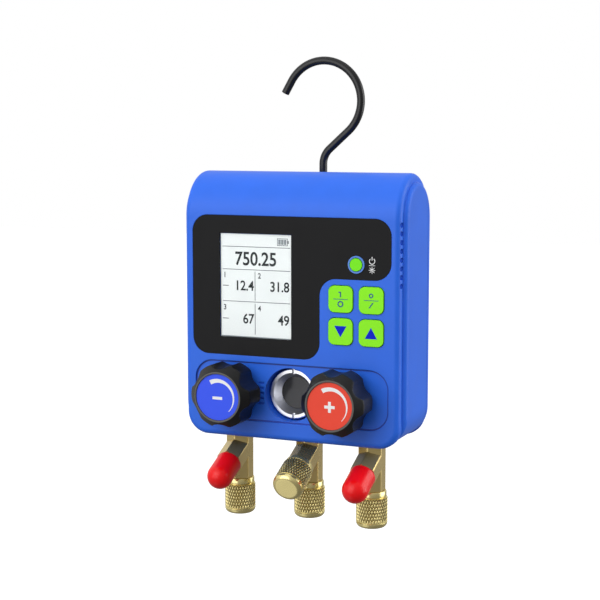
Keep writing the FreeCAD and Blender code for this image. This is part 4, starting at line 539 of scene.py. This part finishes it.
vinyl_cap("low_vinyl_cap", "low_vinyl_cap_body")
vinyl_cap("high_vinyl_cap", "high_vinyl_cap_body")


# Knobs: a painted highlight, a lighter ring round the disc where the knob's front edge catches
# light

# Width and grey of the painted highlight round the discs
RIM_HIGHLIGHT_WIDE = 1.0
RIM_HIGHLIGHT_GREY = srgb(92, 91, 88)


def paint_rim_highlight(material):
    """Painted highlight: a lighter grey ring on the front of both knobs round the disc, tinted into
    the material's colour.
    """
    tree = material.node_tree
    low, high = node_box("high_knob_disc")
    middle = node_middle("high_knob_disc")
    disc_r = (high.x - low.x) / 2
    where = tree.nodes.new("ShaderNodeTexCoord").outputs["Object"]
    # The knobs mirror each other in X, so the size of X alone finds both.
    mirrored = tree.nodes.new("ShaderNodeVectorMath")
    mirrored.operation = "ABSOLUTE"
    tree.links.new(where, mirrored.inputs[0])
    distance = tree.nodes.new("ShaderNodeVectorMath")
    distance.operation = "DISTANCE"
    distance.inputs[1].default_value = (middle.x * MM, -low.y * MM, -middle.z * MM)
    tree.links.new(mirrored.outputs["Vector"], distance.inputs[0])
    ring = tree.nodes.new("ShaderNodeMath")
    ring.operation = "LESS_THAN"
    ring.inputs[1].default_value = (disc_r + RIM_HIGHLIGHT_WIDE) * MM
    tree.links.new(distance.outputs["Value"], ring.inputs[0])
    tint(material, ring.outputs["Value"], RIM_HIGHLIGHT_GREY)


paint_rim_highlight(LOOKS["knob_black"])


# Prints on the knobs' discs

ARC_START = 118.0
ARC_END = -48.0
ARC_R_START = 7.9
ARC_R_END = 8.9
ARC_HALF_START = 1.1
ARC_HALF_END = 0.12
SIGN_HALF = 2.6
SIGN_THIN = 0.7
SIGN_DROP = 0.4


def face_of(name):
    """Place in the middle of a node's front."""
    middle = node_middle(name)
    return facing(middle.x, node_box(name)[0].y, middle.z)


def cross(half, thin, cy=0.0):
    """Outline of a cross with equal arms."""
    return [(-half, cy - thin), (-thin, cy - thin), (-thin, cy - half), (thin, cy - half),
            (thin, cy - thin), (half, cy - thin), (half, cy + thin), (thin, cy + thin),
            (thin, cy + half), (-thin, cy + half), (-thin, cy + thin), (-half, cy + thin)]


def disc_print(side, sign):
    """Tapering arc and sign on the disc of one knob."""
    body, at = f"{side}_valve_knob", face_of(f"{side}_knob_disc")
    arc = band(ARC_R_START, ARC_R_END, ARC_HALF_START, ARC_HALF_END, ARC_START, ARC_END)
    print_on(f"{side}_disc_arc", [arc], body, PRINT_WHITE, at)
    print_on(f"{side}_disc_sign", [sign], body, PRINT_WHITE, at)


disc_print("low",
           bar(-SIGN_HALF, -SIGN_DROP - SIGN_THIN, SIGN_HALF, SIGN_THIN - SIGN_DROP))
disc_print("high", cross(SIGN_HALF, SIGN_THIN, -SIGN_DROP))


# Display: lines, battery symbol and plain numbers on the panel behind the window

panel_low, panel_high = node_box("display_window")
SHEET = 0.04
SHEET_GAP = 0.05
EDGE_HIGHLIGHT_WIDE = 0.4
LINE = 0.32
DASH = 0.35
PANEL_Y = panel_high.y + SHEET
PANEL_WIDTH = panel_high.x - panel_low.x
PANEL_HEIGHT = panel_high.z - panel_low.z


def panel(u, v):
    """Point of the display: u from its left edge and v from its top edge, both 0 to 1."""
    return panel_low.x + u * PANEL_WIDTH, panel_high.z - v * PANEL_HEIGHT


def panel_bar(u0, v0, u1, v1, thick):
    """Level or upright line of the display between two of its points."""
    x0, z0 = panel(u0, v0)
    x1, z1 = panel(u1, v1)
    if v0 == v1:
        return bar(x0, z0 - thick / 2, x1, z0 + thick / 2)
    return bar(x0 - thick / 2, z1, x0 + thick / 2, z0)


# The display's front sheet covers the ledge under the window.
verts, faces = flat_mesh([bar(panel_low.x + SHEET_GAP, panel_low.z + SHEET_GAP,
                              panel_high.x - SHEET_GAP, panel_high.z - SHEET_GAP)], SHEET)
piece("display_sheet", verts, faces, "case", LOOKS["display_face"],
      facing(0, PANEL_Y + SHEET, 0))
panel_at = facing(0, PANEL_Y, 0)
# Painted highlight: a thin grey line along the display's left and lower edge, where the window's
# bevelled edge catches light
edge_highlight = [bar(panel_low.x, panel_low.z, panel_low.x + EDGE_HIGHLIGHT_WIDE, panel_high.z),
          bar(panel_low.x + EDGE_HIGHLIGHT_WIDE, panel_low.z, panel_high.x, panel_low.z + EDGE_HIGHLIGHT_WIDE)]
print_on("display_edge_highlight", edge_highlight, "case", PRINT_GREY_AND_EDGE_HIGHLIGHT, panel_at)
lines = [panel_bar(0.03, v, 0.98, v, LINE) for v in (0.125, 0.345, 0.655)]
lines += [panel_bar(0.49, v0, 0.49, v1, LINE) for v0, v1 in ((0.36, 0.64), (0.67, 0.97))]
print_on("display_lines", lines, "case", PRINT_GREY, panel_at)

# Battery symbol, from its lower left corner: outline, tip and three charge bars
BATTERY_LONG = 5.6
BATTERY_TALL = 3.6
BATTERY_LINE = 0.3
battery_x, battery_z = panel(0.80, 0.105)


def battery_bar(x0, z0, x1, z1):
    """Rectangle given from the symbol's corner."""
    return bar(battery_x + x0, battery_z + z0, battery_x + x1, battery_z + z1)


inner_x, inner_z = BATTERY_LONG - BATTERY_LINE, BATTERY_TALL - BATTERY_LINE
battery = [battery_bar(0, 0, BATTERY_LONG, BATTERY_LINE),
           battery_bar(0, inner_z, BATTERY_LONG, BATTERY_TALL),
           battery_bar(0, BATTERY_LINE, BATTERY_LINE, inner_z),
           battery_bar(inner_x, BATTERY_LINE, BATTERY_LONG, inner_z),
           battery_bar(BATTERY_LONG, 1.1, BATTERY_LONG + 0.5, 2.5)]
print_on("display_battery", battery, "case", PRINT_GREY, panel_at)
charge = [battery_bar(0.6 + 1.5 * i, 0.55, 1.9 + 1.5 * i, 3.05) for i in range(3)]
print_on("display_charge", charge, "case", PRINT_GREY_AND_EDGE_HIGHLIGHT, panel_at)

# Name, digits, height, place on the display and side that the digits keep to
READINGS = [
    ("main", "750.25", 6.7, 0.5, 0.3, "CENTER"),
    ("first", "12.4", 4.9, 0.475, 0.545, "RIGHT"), ("second", "31.8", 4.9, 0.97, 0.545, "RIGHT"),
    ("third", "67", 4.9, 0.475, 0.865, "RIGHT"), ("fourth", "49", 4.9, 0.97, 0.865, "RIGHT"),
    ("tag_first", "1", 2.7, 0.04, 0.425, "LEFT"), ("tag_second", "2", 2.7, 0.53, 0.425, "LEFT"),
    ("tag_third", "3", 2.7, 0.04, 0.74, "LEFT"), ("tag_fourth", "4", 2.7, 0.53, 0.74, "LEFT"),
]
for name, text, height, u, v, align in READINGS:
    x, z = panel(u, v)
    words("display_" + name, text, height, x, z, PANEL_Y, "case", PRINT_INK,
          align, DIGIT_WIDTH)
dashes = [panel_bar(0.03, v, 0.115, v, DASH) for v in (0.505, 0.825)]
print_on("display_signs", dashes, "case", PRINT_INK, panel_at)


# Painted shade: a dark blue line round the recess behind the knobs, where its step lies in shade

def rounded(half_x, low_z, high_z, radius, steps=10):
    """Outline of a rectangle with round corners, centred on local X 0."""
    points = []
    right, low, high = half_x - radius, low_z + radius, high_z - radius
    for cx, cy, first in ((right, high, 0), (-right, high, 90), (-right, low, 180),
                          (right, low, 270)):
        for i in range(steps + 1):
            turn = math.radians(first + 90 * i / steps)
            points.append((cx + radius * math.cos(turn), cy + radius * math.sin(turn)))
    return points


def ring_print(name, outer, inner, material, at):
    """Thin print between two outlines with the same number of points."""
    count = len(outer)
    verts = [(x, y, z) for z in (0, PRINT) for loop in (outer, inner) for x, y in loop]
    faces = []
    for i in range(count):
        j = (i + 1) % count
        a, b, c, d = i, j, count + i, count + j
        faces += [(c, d, b, a), (2 * count + a, 2 * count + b, 2 * count + d, 2 * count + c),
                  (a, b, 2 * count + b, 2 * count + a), (d, c, 2 * count + c, 2 * count + d)]
    return piece(name, verts, faces, "case", material, at, sharp=20)


# The recess in the front shell: half its width, its lower and upper edge, its corners
RECESS_HALF = 50.91
RECESS_LOW = -174.8
RECESS_HIGH = -145.5
RECESS_R = 9.5
RECESS_DEEP = 0.8
# Width of the painted shade line and its inset from the recess edge
SHADE_LINE_WIDE = 0.75
SHADE_LINE_GAP = 0.02
# Painted shade: a thin dark blue ring on the recess floor along its step
ring_print("recess_shade_line",
           rounded(RECESS_HALF - SHADE_LINE_GAP, RECESS_LOW + SHADE_LINE_GAP, RECESS_HIGH - SHADE_LINE_GAP, RECESS_R),
           rounded(RECESS_HALF - SHADE_LINE_WIDE, RECESS_LOW + SHADE_LINE_WIDE, RECESS_HIGH - SHADE_LINE_WIDE, RECESS_R - SHADE_LINE_WIDE),
           RECESS_SHADE_BLUE, facing(0, CASE_FRONT + RECESS_DEEP, 0))


# Symbols beside the power button and on the keys

button = node_middle("power_button")
SYMBOL_ASIDE = 7.9
symbol_at = facing(button.x + SYMBOL_ASIDE, CASE_FRONT, button.z)
RAY_HALF = 0.13
STROKE_HALF = 0.17


def circle(r, half, steps, cy):
    """Outline of a ring that is all but closed."""
    return band(r, r, half, half, 0, 359.5, steps, cy)


def star(cy, inner, outer, rays):
    """Disc with rays round it."""
    loops = [band(inner / 2, inner / 2, inner / 2, inner / 2, 0, 359, 24, cy)]
    for i in range(rays):
        turn = 2 * math.pi * i / rays
        along = Vector((math.cos(turn), math.sin(turn)))
        across = Vector((-along.y, along.x)) * RAY_HALF
        root, tip = (Vector((0, cy)) + along * reach for reach in (inner * 0.7, outer))
        loops.append([tuple(v) for v in (root + across, root - across, tip - across,
                                         tip + across)])
    return loops


power_marks = [band(1.35, 1.35, STROKE_HALF, STROKE_HALF, 125, 415, 40, 1.9),
               bar(-STROKE_HALF, 2.3, STROKE_HALF, 4.0), bar(-1.6, -0.25, 1.6, -0.05)]
print_on("power_symbol", power_marks, "case", PRINT_WHITE, symbol_at)
print_on("light_symbol", star(-2.35, 0.8, 1.65, 8), "case", PRINT_WHITE,
         symbol_at)

# Marks on the keys, from the middle of a key's front
ARROW_HALF = 3.1
ARROW_TALL = 5.4
up = [(-ARROW_HALF, -ARROW_TALL / 2), (ARROW_HALF, -ARROW_TALL / 2), (0, ARROW_TALL / 2)]
down = [(0, -ARROW_TALL / 2), (ARROW_HALF, ARROW_TALL / 2), (-ARROW_HALF, ARROW_TALL / 2)]
rule = bar(-3.7, -0.16, 3.7, 0.16)
zero = circle(1.2, 0.33, 40, -2.3)
one = [bar(-0.33, 1.0, 0.33, 3.6), bar(-1.0, 2.95, -0.33, 3.6)]
degree = circle(0.85, 0.3, 30, 2.3)
slash = [(-1.3, -3.6), (-0.6, -3.6), (1.3, -1.0), (0.6, -1.0)]
for key, mark, loops, ink in (("up_key", "arrow", [up], PRINT_BLUE),
                              ("down_key", "arrow", [down], PRINT_BLUE),
                              ("fn_key", "marks", [rule, zero, *one], PRINT_TEAL),
                              ("unit_key", "marks", [rule, degree, slash], PRINT_TEAL)):
    print_on(f"{key}_{mark}", loops, key + "_body", ink, face_of(key))


# Cross recesses of the screws in the back, as painted shade: flat dark crosses on the heads

screw_low, screw_high = node_box("case_screws")
HEAD_R = 2.8
RECESS_ARM = 1.7
RECESS_THIN = 0.35
for index, (x, z) in enumerate([(sx, sz) for sx in (screw_low.x + HEAD_R, screw_high.x - HEAD_R)
                                for sz in (screw_low.z + HEAD_R, screw_high.z - HEAD_R)]):
    verts, faces = flat_mesh([cross(RECESS_ARM, RECESS_THIN)], PRINT)
    piece(f"case_screw_shade_cross_{index}", verts, faces, "case", SCREW_RECESS_SHADE,
          place((x, screw_high.y, z), BACKWARD))


# Stage, lights and camera

FLOOR_DROP = 360
floor_z = node_box("high_port_cap")[0].z - FLOOR_DROP
HALF_FLOOR = 6000
floor_mesh = bpy.data.meshes.new("floor")
floor_mesh.from_pydata([(x * MM, y * MM, floor_z * MM) for x, y in bar(
    -HALF_FLOOR, -HALF_FLOOR, HALF_FLOOR, HALF_FLOOR)], [], [(0, 1, 2, 3)])
floor = bpy.data.objects.new("floor", floor_mesh)
scene.collection.objects.link(floor)
floor_look = look("floor_paper", srgb(250, 250, 250), 0.8, vary=0.005, patch=400, bump=0, edge=0,
                  Emission_Color=(1, 1, 1, 1), Emission_Strength=0.45)
floor_mesh.materials.append(floor_look)
floor.visible_diffuse = False
floor.visible_glossy = False

# Studio: white behind the object, brighter above than below for what the object mirrors
world = bpy.data.worlds.new("studio")
scene.world = world
world.use_nodes = True
tree = world.node_tree
surround = tree.nodes["Background"]
ray = tree.nodes.new("ShaderNodeTexCoord")
axes = tree.nodes.new("ShaderNodeSeparateXYZ")
height = tree.nodes.new("ShaderNodeMapRange")
height.inputs["From Min"].default_value = -1
sky = tree.nodes.new("ShaderNodeValToRGB")
for index, (position, tone) in enumerate([(0.0, 0.14), (0.42, 0.28), (0.6, 0.45), (1.0, 0.62)]):
    stop = sky.color_ramp.elements[index] if index < 2 else sky.color_ramp.elements.new(position)
    stop.position = position
    stop.color = (tone, tone, tone, 1)
tree.links.new(ray.outputs["Generated"], axes.inputs["Vector"])
tree.links.new(axes.outputs["Z"], height.inputs["Value"])
tree.links.new(height.outputs["Result"], sky.inputs["Fac"])
tree.links.new(sky.outputs["Color"], surround.inputs["Color"])
# The studio's left side is brighter than its right side.
side = tree.nodes.new("ShaderNodeMapRange")
side.inputs["From Min"].default_value = -1
side.inputs["To Min"].default_value = 1.9
side.inputs["To Max"].default_value = 0.75
tree.links.new(axes.outputs["X"], side.inputs["Value"])
tree.links.new(side.outputs["Result"], surround.inputs["Strength"])
seen = tree.nodes.new("ShaderNodeBackground")
seen.inputs["Color"].default_value = (1, 1, 1, 1)
seen.inputs["Strength"].default_value = 1.0
path = tree.nodes.new("ShaderNodeLightPath")
mix = tree.nodes.new("ShaderNodeMixShader")
tree.links.new(path.outputs["Is Camera Ray"], mix.inputs["Fac"])
tree.links.new(surround.outputs["Background"], mix.inputs[1])
tree.links.new(seen.outputs["Background"], mix.inputs[2])
tree.links.new(mix.outputs["Shader"], tree.nodes["World Output"].inputs["Surface"])


def aim(obj, spot, target):
    """Set an object at spot so that it looks at target."""
    obj.location = Vector(spot) * MM
    obj.rotation_euler = (Vector(target) - Vector(spot)).to_track_quat("-Z", "Y").to_euler()


LIT_SPOT = (0, -25, -114)


def soft_light(name, spot, size, power, diffuse=True, glossy=True):
    """Rectangular light that looks at the middle of the part."""
    data = bpy.data.lights.new(name, "AREA")
    data.shape = "RECTANGLE"
    data.size = size[0] * MM
    data.size_y = size[1] * MM
    data.energy = power
    obj = bpy.data.objects.new(name, data)
    obj.visible_diffuse = diffuse
    obj.visible_glossy = glossy
    scene.collection.objects.link(obj)
    aim(obj, spot, LIT_SPOT)


soft_light("key_light", (-250, -820, 400), (900, 700), 5.3, glossy=False)
soft_light("key_card", (-340, -880, 40), (820, 900), 3.9, diffuse=False)
soft_light("fill_light", (860, 340, 40), (800, 900), 6.2)
soft_light("top_light", (-60, -360, 800), (900, 500), 0.4)
soft_light("bounce_card", (-330, -450, -800), (500, 500), 0.35, diffuse=False)

# The camera stands as the photographer did: these values were fitted to the photograph.
CAMERA_TARGET = Vector((5.61, CASE_FRONT, -113.59))
CAMERA_AZIMUTH = math.radians(22.98)
CAMERA_ELEVATION = math.radians(6.91)
CAMERA_DISTANCE = 687.65
CAMERA_LENS = 85.82
SENSOR_WIDTH = 36
away = Vector((math.sin(CAMERA_AZIMUTH) * math.cos(CAMERA_ELEVATION),
               -math.cos(CAMERA_AZIMUTH) * math.cos(CAMERA_ELEVATION),
               math.sin(CAMERA_ELEVATION)))
camera = bpy.data.objects.new("camera", bpy.data.cameras.new("camera"))
camera.data.lens = CAMERA_LENS
camera.data.sensor_width = SENSOR_WIDTH
scene.collection.objects.link(camera)
aim(camera, CAMERA_TARGET + away * CAMERA_DISTANCE, CAMERA_TARGET)
scene.camera = camera
scene.view_settings.view_transform = "Standard"
